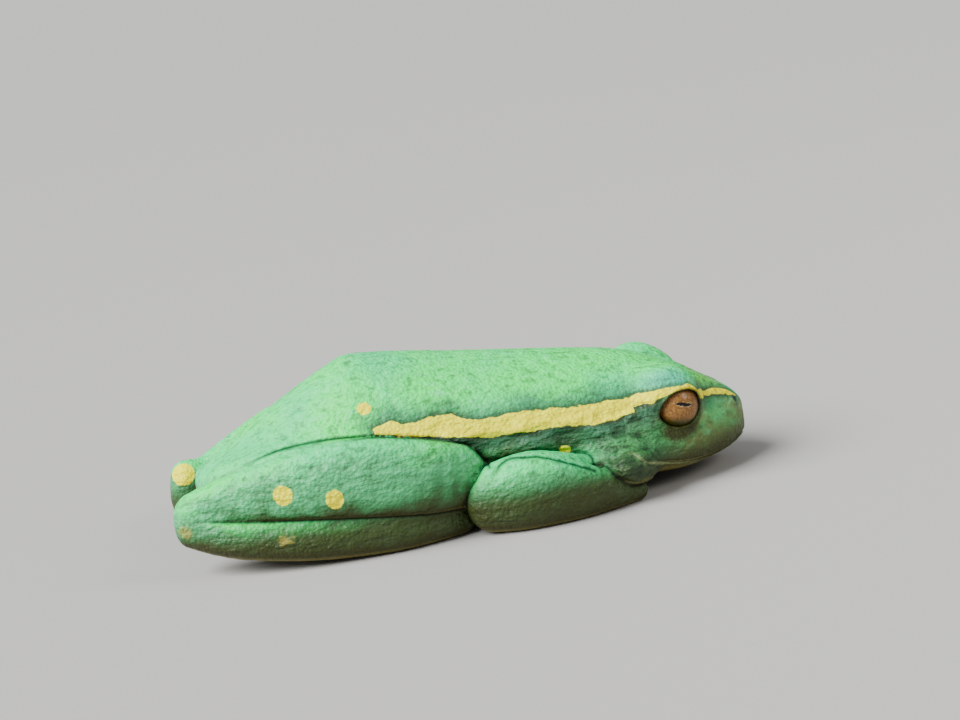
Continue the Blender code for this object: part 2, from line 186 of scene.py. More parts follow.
BODY_XS, BODY_TURNS, BODY_RADII, BODY_MIDDLES = section_radii()
SLOPE_X = np.gradient(BODY_RADII, BODY_XS, axis=0)
SLOPE_TURN = np.gradient(BODY_RADII, BODY_TURNS, axis=1) / np.maximum(BODY_RADII, SMALLEST_RADIUS)
BODY_STEEPNESS = np.sqrt(1 + np.minimum(np.abs(SLOPE_X), STEEPEST) ** 2 + SLOPE_TURN**2)
print("radii from", BODY_RADII.min().round(2), "to", BODY_RADII.max().round(2), "mm")

# %% Distance to trunk and head


def look_up(table, along, round_):
    """Reads a table at fractional rows and columns."""
    i = np.clip(along.astype(int), 0, table.shape[0] - 2)
    j = np.clip(round_.astype(int), 0, table.shape[1] - 2)
    u, v = along - i, round_ - j
    top = table[i, j] * (1 - v) + table[i, j + 1] * v
    low = table[i + 1, j] * (1 - v) + table[i + 1, j + 1] * v
    return top * (1 - u) + low * u


def body_distance(p):
    """Distance to the skin of trunk and head, without the masses that are added to them."""
    x = np.clip(p[:, 0], BODY_XS[0], BODY_XS[-1])
    along = (x - BODY_XS[0]) / (BODY_XS[-1] - BODY_XS[0]) * (BODY_X_SAMPLES - 1)
    middle = np.interp(x, BODY_XS, BODY_MIDDLES)
    y, z = np.abs(p[:, 1]), p[:, 2] - middle
    turn = (np.arctan2(z, y) + math.pi / 2) / math.pi * (BODY_TURN_SAMPLES - 1)
    gap = (np.hypot(y, z) - look_up(BODY_RADII, along, turn)) / look_up(BODY_STEEPNESS, along, turn)
    beyond = np.abs(p[:, 0] - x)
    return np.where(beyond > 0, np.hypot(np.maximum(gap, 0), beyond), gap)


print("distance at the middle of the trunk:", body_distance(np.array([[0.0, 0.0, 4.0]])).round(2), "mm")

# %% [markdown]
# ## The limbs as tubes
#
# Each limb segment is a bent tube with an oval section: stations give the place, the half height and the
# half width. The folded leg lies as shank over tarsus, with the thigh behind them, and the forearm lies in
# front of the upper arm. The left heel lies lower and further back than the right one, as in the picture.

# %% Stations of the limbs
THIGH = (
    (-12.00, -2.70, 3.90, 1.15, 1.20),
    (-9.60, -3.90, 4.20, 1.50, 1.45),
    (-6.20, -4.80, 4.25, 1.62, 1.50),
    (-3.20, -5.30, 3.90, 1.45, 1.35),
    (-1.40, -5.55, 3.45, 1.25, 1.15),
)
SHANK = (
    (-0.45, -6.10, 3.03, 1.78, 1.00),
    (-2.40, -6.60, 3.41, 2.15, 1.25),
    (-5.20, -6.80, 3.90, 2.28, 1.32),
    (-8.20, -6.65, 3.99, 1.99, 1.24),
    (-11.00, -6.05, 3.90, 1.52, 1.10),
    (-13.00, -5.40, 3.80, 1.05, 1.00),
    (-14.15, -5.00, 3.54, 0.84, 0.92),
)
FOOT = (
    (-14.25, -5.10, 2.66, 1.18, 0.92),
    (-12.40, -5.95, 2.04, 1.16, 1.00),
    (-10.00, -6.55, 1.66, 1.19, 1.05),
    (-7.60, -6.80, 1.36, 1.18, 1.08),
    (-4.40, -6.72, 1.05, 1.07, 1.06),
    (-2.40, -6.35, 0.91, 0.93, 0.98),
    (-0.80, -5.70, 0.79, 0.81, 0.86),
)
UPPER_ARM = (
    (7.20, -4.10, 1.50, 0.85, 0.85),
    (5.30, -5.50, 2.16, 0.98, 0.92),
    (3.20, -6.25, 2.72, 1.06, 1.00),
    (1.30, -6.45, 2.50, 1.03, 0.97),
)
FOREARM = (
    (0.80, -6.80, 1.52, 1.48, 0.98),
    (2.10, -7.00, 1.80, 1.86, 1.15),
    (3.40, -7.00, 1.78, 1.86, 1.20),
    (5.30, -6.70, 1.40, 1.54, 1.10),
    (7.20, -6.10, 0.98, 1.04, 0.92),
    (8.50, -5.45, 0.70, 0.76, 0.70),
)
PALM = (
    (8.65, -5.10, 0.60, 0.60, 0.62),
    (8.70, -4.15, 0.54, 0.54, 0.80),
    (8.45, -3.35, 0.50, 0.50, 0.75),
)
print("thigh of", len(THIGH), "stations, shank of", len(SHANK), "and foot of", len(FOOT))

# %% Toes and fingers: root x, y and tip x, y
TOES = (
    (-1.30, -5.60, 0.55, -4.95),
    (-1.10, -5.35, 2.35, -4.55),
    (-1.00, -5.05, 4.60, -3.95),
    (-1.20, -4.75, 3.05, -3.05),
    (-1.50, -4.55, 0.90, -2.90),
)
FINGERS = (
    (8.70, -3.90, 9.20, -0.95),
    (8.55, -3.70, 8.20, -0.65),
    (8.35, -3.60, 7.15, -0.95),
    (8.15, -3.80, 6.40, -2.20),
)
DIGIT_HALF_HEIGHT = 0.38
DIGIT_HALF_WIDTH = 0.34
DISC_HALF_WIDTH = 0.52
DISC_WIDENING = DISC_HALF_WIDTH / DIGIT_HALF_WIDTH
DIGIT_SHAPE = ((0.0, 1.15), (0.45, 1.0), (0.72, 0.95), (0.88, DISC_WIDENING), (1.0, 1.35))
DIGIT_SQUARENESS = 2.2
print(len(TOES), "toes and", len(FINGERS), "fingers to a side")

# %% Tubes with round ends
SETTLE_FROM_X = -9.0
SETTLE_LENGTH = 5.0
LEFT_HEEL_DROP = 1.15
LEFT_HEEL_BACK = 0.45
LEFT_HEEL_THINNER = 0.10
LIMB_SQUARENESS = 2.4
TUBE_REACH = 1.6
SMALLEST_RATIO = 1e-4
FAR = 9.0


def tube_rows(stations, side, steps=3):
    """The tube's stations made dense, on its own side of the body, with the left heel let down."""
    rows = between(stations, steps)
    behind = np.maximum(0, (SETTLE_FROM_X - rows[:, 0]) / SETTLE_LENGTH) * (side < 0)
    rows[:, 3] *= 1 - LEFT_HEEL_THINNER * behind
    rows[:, 0] -= LEFT_HEEL_BACK * behind
    rows[:, 2] -= LEFT_HEEL_DROP * behind
    rows[:, 1] *= side
    return rows


def tube_distance(p, rows, squareness=LIMB_SQUARENESS):
    """Distance to a bent oval tube with round ends, found only near it."""
    reach = rows[:, 3:].max() + TUBE_REACH
    near = np.all((p > rows[:, :3].min(0) - reach) & (p < rows[:, :3].max(0) + reach), 1)
    out = np.full(len(p), FAR)
    q = p[near]
    best = np.full(len(q), FAR)
    for a, b in zip(rows, rows[1:]):
        step = b[:3] - a[:3]
        length = np.linalg.norm(step)
        along = step / length
        across = np.cross(along, (0, 0, 1))
        across /= np.linalg.norm(across)
        upward = np.cross(across, along)
        offset = q - a[:3]
        travel = offset @ along
        t = np.clip(travel / length, 0, 1)
        s = travel - t * length
        u, w = offset @ across, offset @ upward
        high = a[3] + t * (b[3] - a[3])
        wide = a[4] + t * (b[4] - a[4])
        ratio = (np.abs(u / wide) ** squareness + np.abs(w / high) ** squareness) ** (1 / squareness)
        ratio = np.maximum(np.hypot(ratio, s * 2 / (high + wide)), SMALLEST_RATIO)
        radius = np.sqrt(u * u + w * w + s * s)
        best = np.minimum(best, radius - radius / ratio)
    out[near] = best
    return out


def digit_rows(row, side):
    """A toe or finger as a tube: slender, with a wider disc near its tip."""
    root, tip = np.array(row[:2]), np.array(row[2:])
    stations = []
    for share, widening in DIGIT_SHAPE:
        x, y = root + (tip - root) * share
        stations.append((x, y, DIGIT_HALF_HEIGHT, DIGIT_HALF_HEIGHT, DIGIT_HALF_WIDTH * widening))
    return tube_rows(stations, side, 2)


def ball_distance(p, centre, radii):
    """Distance to a ball with its own radius along each axis."""
    offset = p - centre
    ratio = np.maximum(np.linalg.norm(offset / radii, axis=1), SMALLEST_RATIO)
    radius = np.linalg.norm(offset, axis=1)
    return radius - radius / ratio


print("left heel", LEFT_HEEL_DROP, "mm lower than the right one")

# %% [markdown]
# ## Melting shapes together
#
# The plain union of two distances is the smaller of them, and it leaves a sharp inner corner. A melted
# union rounds that corner over a width k, as flesh does at the hip. Heel and elbow are melted more widely
# than the crease beside them, so k changes along the limb.

# %% Melted unions and other helpers


def melt(a, b, k):
    """Union of two distances with the corner rounded over k."""
    h = np.clip(0.5 + 0.5 * (b - a) / k, 0, 1)
    return b * (1 - h) + a * h - k * h * (1 - h)


def carve(a, b, k):
    """Takes the shape b out of the shape a, with the rim rounded over k."""
    return -melt(-a, b, k)


def ramp(value, start, end):
    """0 at start, 1 at end, smooth between."""
    t = np.clip((value - start) / (end - start), 0, 1)
    return t * t * (3 - 2 * t)


def bell(value, width):
    """1 where the value is 0, falling to 0 a few widths away."""
    return np.exp(-((value / width) ** 2))


def mirrored(point, side):
    """A point given on the right side of the body, moved to the given side."""
    return np.array((point[0], point[1] * side, point[2]))


def on_right_side(p):
    """The same points, each one moved to its mirror place on the right side of the body."""
    return np.stack([p[:, 0], -np.abs(p[:, 1]), p[:, 2]], 1)


def along_segment(p, a, b):
    """How far along the segment from a to b each point lies, 0 to 1, and its distance from the segment."""
    step = b - a
    t = np.clip((p - a) @ step / (step @ step), 0, 1)
    return t, np.linalg.norm(p - a - t[:, None] * step, axis=1)


print("two surfaces 0.1 mm off, melted over 0.5 mm:", melt(0.1, 0.1, 0.5), "mm")

# %% [markdown]
# ## The eyes, brows and lids
#
# A reed frog's eye sits in a dome that stands out of the head. The lids are skin over the eyeball, with an
# opening that is round below and follows a wider arch above. The opening is a shallow pit in the skin, and
# the eyeball, a mesh of its own, fills it. A low hood runs over the pit's upper edge, like the lid's fold.

# %% Sizes of eye and lids


def unit(*direction):
    """A direction as an arrow 1 long."""
    return np.array(direction) / np.linalg.norm(direction)


EYE_CENTRE = np.array((11.68, -3.20, 4.14))
EYE_RADIUS = 1.35
EYE_OUT = unit(0.10, -1.0, 0.10)
EYE_FORWARD = unit(1.0, 0.10, 0.0)
EYE_UP = np.cross(EYE_FORWARD, EYE_OUT) * -1
BROW_CENTRE = (10.95, -2.55, 4.40)
BROW_RADII = (2.40, 1.98, 2.02)
EYE_BULGE_CENTRE = (11.65, -2.95, 4.20)
EYE_BULGE_RADIUS = 1.58
LID_THICKNESS = 0.07
OPENING_RADIUS = 1.06
OPENING_WIDENING = 1.15
OPENING_CORNER = 0.12
LID_ARCH_CENTRE = (0.29, -0.77)
LID_ARCH_RADIUS = 1.59
HOOD_RADIUS = 0.16
HOOD_REACH = 0.25
HOOD_FROM_UP = 0.1
PIT_DEPTH = 0.28
PIT_FROM_OUT = 0.2
RIM_SOFTNESS = 0.16
BROW_MELT = 0.5
BULGE_MELT = 0.35
LID_MELT = 0.25
HOOD_MELT = 0.15
EYE_REGION = 3.2
print("lid opening", round(2 * OPENING_RADIUS * OPENING_WIDENING, 2), "mm long")

# %% Brow, lids and opening


def eye_frame(p, side):
    """A point's place seen from the eye: forwards, up, outwards and how far from its centre."""
    offset = (p - mirrored(EYE_CENTRE, side)) * (1, side, 1)
    return offset @ EYE_FORWARD, offset @ EYE_UP, offset @ EYE_OUT, np.linalg.norm(offset, axis=1)


def lid_line(forward, up):
    """Height above the arched edge of the upper lid."""
    return np.hypot(forward - LID_ARCH_CENTRE[0], up - LID_ARCH_CENTRE[1]) - LID_ARCH_RADIUS


def opening_distance(forward, up):
    """Distance to the lids' edge seen from the side, negative inside the opening."""
    round_edge = OPENING_RADIUS - np.hypot(forward / OPENING_WIDENING, up)
    return -melt(round_edge, -lid_line(forward, up), OPENING_CORNER)


def add_eye_region(skin, p, side):
    """Melts brow, bulge and lids onto the head, then sinks the opening for the eyeball."""
    skin = melt(skin, ball_distance(p, mirrored(BROW_CENTRE, side), BROW_RADII), BROW_MELT)
    bulge = ball_distance(p, mirrored(EYE_BULGE_CENTRE, side), np.full(3, EYE_BULGE_RADIUS))
    skin = melt(skin, bulge, BULGE_MELT)
    near = np.linalg.norm(p - mirrored(EYE_CENTRE, side), axis=1) < EYE_REGION
    q = p[near]
    forward, up, out, radius = eye_frame(q, side)
    local = melt(skin[near], radius - EYE_RADIUS - LID_THICKNESS, LID_MELT)
    hood = np.hypot(lid_line(forward, up) - HOOD_RADIUS, radius - EYE_RADIUS - LID_THICKNESS) - HOOD_RADIUS
    hood = np.maximum(hood, np.hypot(forward / OPENING_WIDENING, up) - OPENING_RADIUS - HOOD_REACH)
    hood = np.maximum(hood, HOOD_FROM_UP - up)
    local = np.where(out > 0, melt(local, hood, HOOD_MELT), local)
    pit = np.maximum(opening_distance(forward, up), EYE_RADIUS - PIT_DEPTH - radius)
    pit = np.maximum(pit, PIT_FROM_OUT - out)
    skin = skin.copy()
    skin[near] = carve(local, pit, RIM_SOFTNESS)
    return skin


print("eyes centred", EYE_CENTRE, "mm on the right side")

# %% [markdown]
# ## Nostrils and mouth
#
# A nostril is a small pit with a raised rim near the tip of the snout. The mouth is only a fine groove in a
# resting frog. Its line droops to the corner, which lies behind the eye. Both are a few tenths of a
# millimetre wide, so they are cut into the distance here, where they stay exact, and not modelled by hand.

# %% Nostrils and mouth
NOSTRIL = (15.36, -1.44, 3.50)
NOSTRIL_RIM = 0.30
NOSTRIL_RIM_PLACE = (-0.12, 0.10, -0.12)
NOSTRIL_RIM_MELT = 0.25
NOSTRIL_PIT = (0.20, 0.24, 0.24)
NOSTRIL_PIT_PLACE = (0.14, -0.16, 0.08)
NOSTRIL_PIT_SOFTNESS = 0.06
MOUTH_LINE = (
    (8.4, 2.87), (8.95, 2.49), (9.6, 2.09), (10.85, 1.52),
    (12.6, 1.18), (14.25, 1.22), (15.5, 1.47), (16.6, 1.75),
)
MOUTH_CURVE = between(MOUTH_LINE, 10)
MOUTH_CORNER = (8.3, 8.7)
MOUTH_DEPTH = 0.13
MOUTH_HALF_WIDTH = 0.07


def mouth_gap(p):
    """Height above the lip line, and how strongly the line shows there."""
    height = np.interp(p[:, 0], MOUTH_CURVE[:, 0], MOUTH_CURVE[:, 1])
    slope = np.interp(p[:, 0], MOUTH_CURVE[:, 0], np.gradient(MOUTH_CURVE[:, 1], MOUTH_CURVE[:, 0]))
    return (p[:, 2] - height) / np.sqrt(1 + slope**2), ramp(p[:, 0], *MOUTH_CORNER)


def add_nostril(skin, p, side):
    """A low rim melted onto the snout, with a small pit in it."""
    centre = mirrored(NOSTRIL, side)
    rim = ball_distance(p, centre + mirrored(NOSTRIL_RIM_PLACE, side), np.full(3, NOSTRIL_RIM))
    skin = melt(skin, rim, NOSTRIL_RIM_MELT)
    pit = ball_distance(p, centre + mirrored(NOSTRIL_PIT_PLACE, side), np.array(NOSTRIL_PIT))
    return carve(skin, pit, NOSTRIL_PIT_SOFTNESS)


print("mouth line of", len(MOUTH_CURVE), "points")

# %% [markdown]
# ## Masses that press against one another
#
# Seen from the side, the frog is a few smooth masses with thin dark creases between them: the trunk, the
# shank, the foot, the upper arm and the forearm. They are kept apart as separate distances here, because
# the crease runs where two of them are equal. Thigh and throat melt into the trunk and leave no crease.
# The fingers melt into the hand and the toes into the foot.

# %% The masses
LIMBS = {
    (part, side): tube_rows(stations, side)
    for part, stations in (
        ("thigh", THIGH),
        ("shank", SHANK),
        ("foot", FOOT),
        ("upper_arm", UPPER_ARM),
        ("forearm", FOREARM),
        ("palm", PALM),
    )
    for side in SIDES.values()
}
DIGITS = {
    (kind, side): [digit_rows(row, side) for row in rows]
    for kind, rows in (("toe", TOES), ("finger", FINGERS))
    for side in SIDES.values()
}
THROAT_BAG = (8.2, -4.75, 1.85)
THROAT_BAG_RADII = (1.95, 2.12, 1.30)
LEFT_BROW = (10.85, 2.90, 5.18)
LEFT_BROW_RADII = (1.50, 1.30, 1.44)
LEFT_HEEL_KNOB = (-14.6, 4.85, 2.95)
LEFT_HEEL_KNOB_RADIUS = 0.95
# Widths over which each mass melts into the one that it joins.
MELTS = {
    "left brow": 0.35,
    "thigh": 1.1,
    "throat": 0.8,
    "heel": 0.6,
    "toe": 0.22,
    "finger": 0.2,
    "hand": 0.5,
}


def groups(p):
    """The masses that press against one another, each as a distance: the body and each side's lobes."""
    brow = ball_distance(p, np.array(LEFT_BROW), LEFT_BROW_RADII)
    body = melt(body_distance(p), brow, MELTS["left brow"])
    for side in SIDES.values():
        body = add_eye_region(body, p, side)
        body = add_nostril(body, p, side)
    gap, shows = mouth_gap(p)
    body = body + shows * MOUTH_DEPTH * bell(gap, MOUTH_HALF_WIDTH)
    lobes = []
    for side in SIDES.values():
        own = {part: tube_distance(p, rows) for (part, its_side), rows in LIMBS.items() if its_side == side}
        body = melt(body, own["thigh"], MELTS["thigh"])
        bag = ball_distance(p, mirrored(THROAT_BAG, side), THROAT_BAG_RADII)
        body = melt(body, bag, MELTS["throat"])
        if side < 0:
            knob = ball_distance(p, np.array(LEFT_HEEL_KNOB), np.full(3, LEFT_HEEL_KNOB_RADIUS))
            own["shank"] = melt(own["shank"], knob, MELTS["heel"])
        for kind, part in (("toe", "foot"), ("finger", "palm")):
            for rows in DIGITS[kind, side]:
                own[part] = melt(own[part], tube_distance(p, rows, DIGIT_SQUARENESS), MELTS[kind])
        arm = melt(own["forearm"], own["palm"], MELTS["hand"])
        lobes.append((own["shank"], own["foot"], own["upper_arm"], arm))
    return body, lobes


print(len(LIMBS), "limb tubes and", sum(len(rows) for rows in DIGITS.values()), "digits")

# %% [markdown]
# ## Drawn creases
#
# Where two masses are almost level, the crease found from their distances wanders. The three that show
# most are drawn instead, as curves seen from the side. Each curve lies on a plane beside the frog and is
# slid inwards to the skin, so its groove stays thin and clean.

# %% Lines of the creases
# Creases as x, z curves on the plane CREASE_PLANE mm out from the middle, slid inwards along CREASE_SLANT.
CREASE_PLANE = 6.5
CREASE_SLANT = (0.105, -0.204)
LINE_DEPTH = 0.10
LINE_HALF_WIDTH = 0.075
CREASE_LINES = {
    "leg against flank": (
        (-12.9, 5.06), (-12.3, 5.36), (-11.2, 5.72), (-9.7, 6.09), (-8.0, 6.23), (-6.3, 6.19), (-4.3, 5.96),
        (-2.9, 5.68), (-1.4, 5.28), (-0.2, 4.88), (0.36, 4.49), (0.75, 3.95), (1.1, 3.4),
    ),
    "shank against foot": (
        (-13.9, 3.17), (-13.2, 3.03), (-10.8, 2.65), (-7.9, 2.28), (-5.2, 1.92), (-2.4, 1.56), (-0.5, 1.48),
    ),
    "forearm against upper arm": (
        (1.25, 2.95), (1.5, 3.3), (1.8, 3.52), (2.3, 3.66),
        (3.3, 3.56), (4.0, 3.38), (5.3, 2.83), (6.5, 2.24),
    ),
}
LINE_FADE = {
    "leg against flank": (-12.6, -10.0),
    "shank against foot": (-14.0, -13.2),
    "forearm against upper arm": (1.2, 1.6),
}
LINE_CURVES = {name: between(curve, 4) for name, curve in CREASE_LINES.items()}
# Further in from the plane than this the lines fade out, so that none is drawn on the middle of the back.
LINE_INWARD = (3.2, 2.5)
LINE_MARGIN = 0.4


def line_marks(p):
    """1 on a drawn crease line, falling to 0 beside it."""
    inward = CREASE_PLANE - np.abs(p[:, 1])
    place = np.stack([p[:, 0] - CREASE_SLANT[0] * inward, p[:, 2] - CREASE_SLANT[1] * inward], 1)
    best = np.zeros(len(p))
    outer = ramp(inward, *LINE_INWARD)
    for name, curve in LINE_CURVES.items():
        low, high = curve.min(0) - LINE_MARGIN, curve.max(0) + LINE_MARGIN
        near = np.all((place > low) & (place < high), 1) & (outer > 0)
        q = place[near]
        gap = np.full(len(q), FAR)
        for a, b in zip(curve, curve[1:]):
            gap = np.minimum(gap, along_segment(q, a, b)[1])
        best[near] = np.maximum(best[near], bell(gap, LINE_HALF_WIDTH) * ramp(q[:, 0], *LINE_FADE[name]))
    return best * outer


print("drawn creases:", ", ".join(LINE_CURVES))

# %% [markdown]
# ## The whole skin as one distance
#
# The masses are now pressed together with a shallow groove where they touch. A groove everywhere would look
# cut with a knife, so it fades out at the rump and the shoulder, where skin runs on from one mass to the
# next. The hollow of the armpit is carved last, and the belly is flattened where it rests on the floor.

# %% Press the masses together
LEG_ROUNDING = 0.30
RIM_ROUNDING = 0.45
BODY_ROUNDING = 0.40
ARM_ROUNDING = 0.22
HEEL_MORE, ELBOW_MORE, RUMP_MORE, SHOULDER_MORE = 0.5, 0.3, 0.5, 0.3
CREASE_DEPTH = 0.12
CREASE_HALF_WIDTH = 0.17
# Places along the body, each from where it starts to where it is complete.
HEEL = (-13.3, -14.6)
RUMP = (-10.5, -13.0)
ELBOW = (1.6, 0.2)
SHOULDER = (5.5, 6.8)
SHOULDER_HEIGHT = (1.5, 2.5)
KNEE = (-3.5, -1.5)
ARMPIT = (6.74, -6.14, 2.33)
ARMPIT_RADIUS = 0.33
ARMPIT_SOFTNESS = 0.12
LINES_WITHIN = 0.6
FLOOR_GAP = 0.01
FLOOR_SOFTNESS = 0.12


def press(a, b, rounding, depth):
    """Union of two masses pressed together, with a groove of the given depth where they touch."""
    return melt(a, b, rounding) + depth * bell(a - b, CREASE_HALF_WIDTH)


def skin_distance(p):
    """The frog's whole skin: negative inside, positive outside."""
    skin, lobes = groups(p)
    at_heel, at_rump, at_elbow, at_shoulder, at_knee = (
        ramp(p[:, 0], *span) for span in (HEEL, RUMP, ELBOW, SHOULDER, KNEE)
    )
    for shank, foot, upper_arm, arm in lobes:
        leg = melt(shank, foot, LEG_ROUNDING + HEEL_MORE * at_heel)
        whole_arm = melt(upper_arm, arm, RIM_ROUNDING + ELBOW_MORE * at_elbow)
        skin = press(skin, leg, BODY_ROUNDING + RUMP_MORE * at_rump, CREASE_DEPTH * at_knee)
        melted = at_shoulder * ramp(p[:, 2], *SHOULDER_HEIGHT)
        skin = press(skin, whole_arm, ARM_ROUNDING + SHOULDER_MORE * melted, CREASE_DEPTH * (1 - melted))
    for side in SIDES.values():
        hollow = ball_distance(p, mirrored(ARMPIT, side), np.full(3, ARMPIT_RADIUS))
        skin = carve(skin, hollow, ARMPIT_SOFTNESS)
    close = np.abs(skin) < LINES_WITHIN
    skin[close] += LINE_DEPTH * line_marks(p[close])
    return -melt(-skin, p[:, 2] - FLOOR_GAP, FLOOR_SOFTNESS)


print("distance at the middle of the frog:", skin_distance(np.array([[0.0, 0.0, 4.0]])).round(2), "mm")

# %% [markdown]
# ## From distance to mesh
#
# The distance is read on a grid over the whole animal. A surface net puts one vertex in every grid cell
# that the surface crosses and joins neighbouring cells with four-sided faces. It gives even faces, better
# for smooth skin than the slivers of marching cubes. Every vertex is then pulled onto the exact surface
# along the steepest slope of the distance.

# %% Surface net
CELL = 0.195
GRID_LOW = np.array((-16.8, -8.9, -0.5))
GRID_HIGH = np.array((16.9, 8.9, 9.8))
CHUNK = 400000


def in_chunks(function, p):
    """The function's values at many points, worked out a chunk at a time to spare memory."""
    return np.concatenate([function(p[i : i + CHUNK]) for i in range(0, len(p), CHUNK)])


def corner_values(array, corner):
    """The part of a grid that holds the given corner of every cell."""
    return array[tuple(slice(c, c + n - 1) for c, n in zip(corner, array.shape))]


def net_vertices(values):
    """One vertex in each cell that the surface crosses, in the middle of where it cuts the cell's edges."""
    inside = values < 0
    corners = [(i, j, k) for i in (0, 1) for j in (0, 1) for k in (0, 1)]
    filled = sum(corner_values(inside, c).astype(int) for c in corners)
    active = (filled > 0) & (filled < 8)
    base = np.argwhere(active)
    total = np.zeros((len(base), 3))
    crossings = np.zeros(len(base))
    for a in corners:
        for axis in range(3):
            if a[axis]:
                continue
            b = tuple(1 if k == axis else a[k] for k in range(3))
            va, vb = corner_values(values, a)[active], corner_values(values, b)[active]
            crossed = (va < 0) != (vb < 0)
            place = np.array(a, float)[None, :].repeat(len(base), 0)
            place[:, axis] = np.where(crossed, va / np.where(crossed, va - vb, 1), 0)
            total += place * crossed[:, None]
            crossings += crossed
    number = np.full(active.shape, -1)
    number[active] = np.arange(len(base))
    return GRID_LOW + CELL * (base + total / crossings[:, None]), number


def net_faces(inside, number):
    """A face round each grid edge that the surface crosses, from the vertices of the four cells there."""
    quads = []
    for axis in range(3):
        u, w = (axis + 1) % 3, (axis + 2) % 3
        a_in = inside[tuple(slice(1, -1) if k != axis else slice(0, -1) for k in range(3))]
        b_in = inside[tuple(slice(1, -1) if k != axis else slice(1, None) for k in range(3))]
        change = np.argwhere(a_in != b_in)
        leaves = a_in[tuple(change.T)]
        ring = []
        for du, dw in ((1, 1), (0, 1), (0, 0), (1, 0)):
            cell = change.copy()
            cell[:, u] += du
            cell[:, w] += dw
            ring.append(number[tuple(cell.T)])
        ring = np.stack(ring, 1)
        ring[~leaves] = ring[~leaves][:, ::-1]
        quads.append(ring)
    return np.vstack(quads)


def surface_net(function):
    """Vertices and four-sided faces of the surface on which the function is 0."""
    count = np.ceil((GRID_HIGH - GRID_LOW) / CELL).astype(int) + 1
    axes = [GRID_LOW[k] + CELL * np.arange(count[k]) for k in range(3)]
    points = np.stack(np.meshgrid(*axes, indexing="ij"), -1).reshape(-1, 3)
    values = in_chunks(function, points).reshape(count)
    places, number = net_vertices(values)
    return places, net_faces(values < 0, number)


print("grid cells of", CELL, "mm")

# %% Pull and relax
SLOPE_STEP = 0.02
FLATTEST_SLOPE = 0.05
LONGEST_PULL = 0.12


def pull_to_surface(function, p):
    """Moves points onto the surface along the steepest direction of the distance, found by differences."""
    here = in_chunks(function, p)
    change = [in_chunks(function, p + step) - here for step in np.eye(3) * SLOPE_STEP]
    slope = np.stack(change, 1) / SLOPE_STEP
    shift = here[:, None] * slope / np.maximum((slope**2).sum(1), FLATTEST_SLOPE)[:, None]
    length = np.linalg.norm(shift, axis=1, keepdims=True)
    return p - shift * np.minimum(1, LONGEST_PULL / np.maximum(length, 1e-9))


def triangles_from(verts, quads):
    """Splits each four-sided face along its shorter diagonal."""
    a, b, c, d = quads.T
    short = np.linalg.norm(verts[a] - verts[c], axis=1) < np.linalg.norm(verts[b] - verts[d], axis=1)
    first = np.where(short[:, None], quads[:, [0, 1, 2]], quads[:, [0, 1, 3]])
    second = np.where(short[:, None], quads[:, [0, 2, 3]], quads[:, [1, 2, 3]])
    return np.vstack([first, second])


def vertex_normals(verts, tris):
    """Unit normals, each the mean of the faces round a vertex by their area."""
    a, b, c = (verts[tris[:, k]] for k in range(3))
    face = np.cross(b - a, c - a)
    out = np.stack([np.bincount(tris.ravel(), np.repeat(face[:, k], 3), len(verts)) for k in range(3)], 1)
    return out / np.maximum(np.linalg.norm(out, axis=1, keepdims=True), 1e-12)


def neighbour_middle(verts, tris):
    """The middle of each vertex's neighbours."""
    total, count = np.zeros_like(verts), np.zeros(len(verts))
    for a, b in ((0, 1), (1, 0), (1, 2), (2, 1), (2, 0), (0, 2)):
        for k in range(3):
            total[:, k] += np.bincount(tris[:, a], verts[tris[:, b], k], len(verts))
        count += np.bincount(tris[:, a], minlength=len(verts))
    return total / count[:, None]


def relax(verts, tris, share=0.5):
    """Slides vertices along the surface towards the middle of their neighbours, to even out the faces."""
    move = neighbour_middle(verts, tris) - verts
    normal = vertex_normals(verts, tris)
    move -= normal * (move * normal).sum(1, keepdims=True)
    return verts + share * move


clock = time.time()
verts, quads = surface_net(skin_distance)
verts = pull_to_surface(skin_distance, verts)
tris = triangles_from(verts, quads)
for _ in range(2):
    verts = pull_to_surface(skin_distance, relax(verts, tris))
print("net of", len(tris), "triangles in", round(time.time() - clock), "s")

# %% [markdown]
# ## Finer faces where the forms are small
#
# Lids, nostrils, lips and creases are narrower than a grid cell. A finer grid everywhere would waste most
# of its faces on the smooth back. So only edges that are too long for the form beside them are halved, and
# the new vertices are pulled onto the surface as well.

# %% Where the creases run
TOUCH_HALF_WIDTH = 0.13
TOUCH_REACH = 0.4
ARMPIT_SPREAD = 1.1


def creases(p):
    """1 along the lines where two masses touch, 0 away from them."""
    body, lobes = groups(p)
    from_pit = np.linalg.norm(on_right_side(p) - ARMPIT, axis=1)
    best = np.maximum(line_marks(p), np.exp(-((from_pit / (ARMPIT_SPREAD * ARMPIT_RADIUS)) ** 4)))
    at_knee = ramp(p[:, 0], *KNEE)
    for shank, foot, upper_arm, arm in lobes:
        leg, whole_arm = np.minimum(shank, foot), np.minimum(upper_arm, arm)
        for a, b, shows in ((body, leg, at_knee), (body, whole_arm, 1.0), (leg, whole_arm, 1.0)):
            touch = bell(a - b, TOUCH_HALF_WIDTH) * (np.maximum(a, b) < TOUCH_REACH)
            best = np.maximum(best, touch * shows)
    return best


print("vertices in a crease:", int((creases(verts) > 0.5).sum()), "of", len(verts))

# %% Halve the long edges
COARSE_EDGE = 1.0
FINE_EDGE = 0.08
NOSTRIL_EDGE = FINE_EDGE * 0.7
TOO_LONG = 1.3
LAST_RELAX = 0.4
FINE_ROUND_EYE = 2.1
FINE_ROUND_NOSTRIL = 0.6
FINE_BESIDE_MOUTH = 0.2
MOUTH_SHOWS = 0.2
MOUTH_TOP = 4.0
FINE_CREASE = 0.35
ABOVE_FLOOR = 0.3


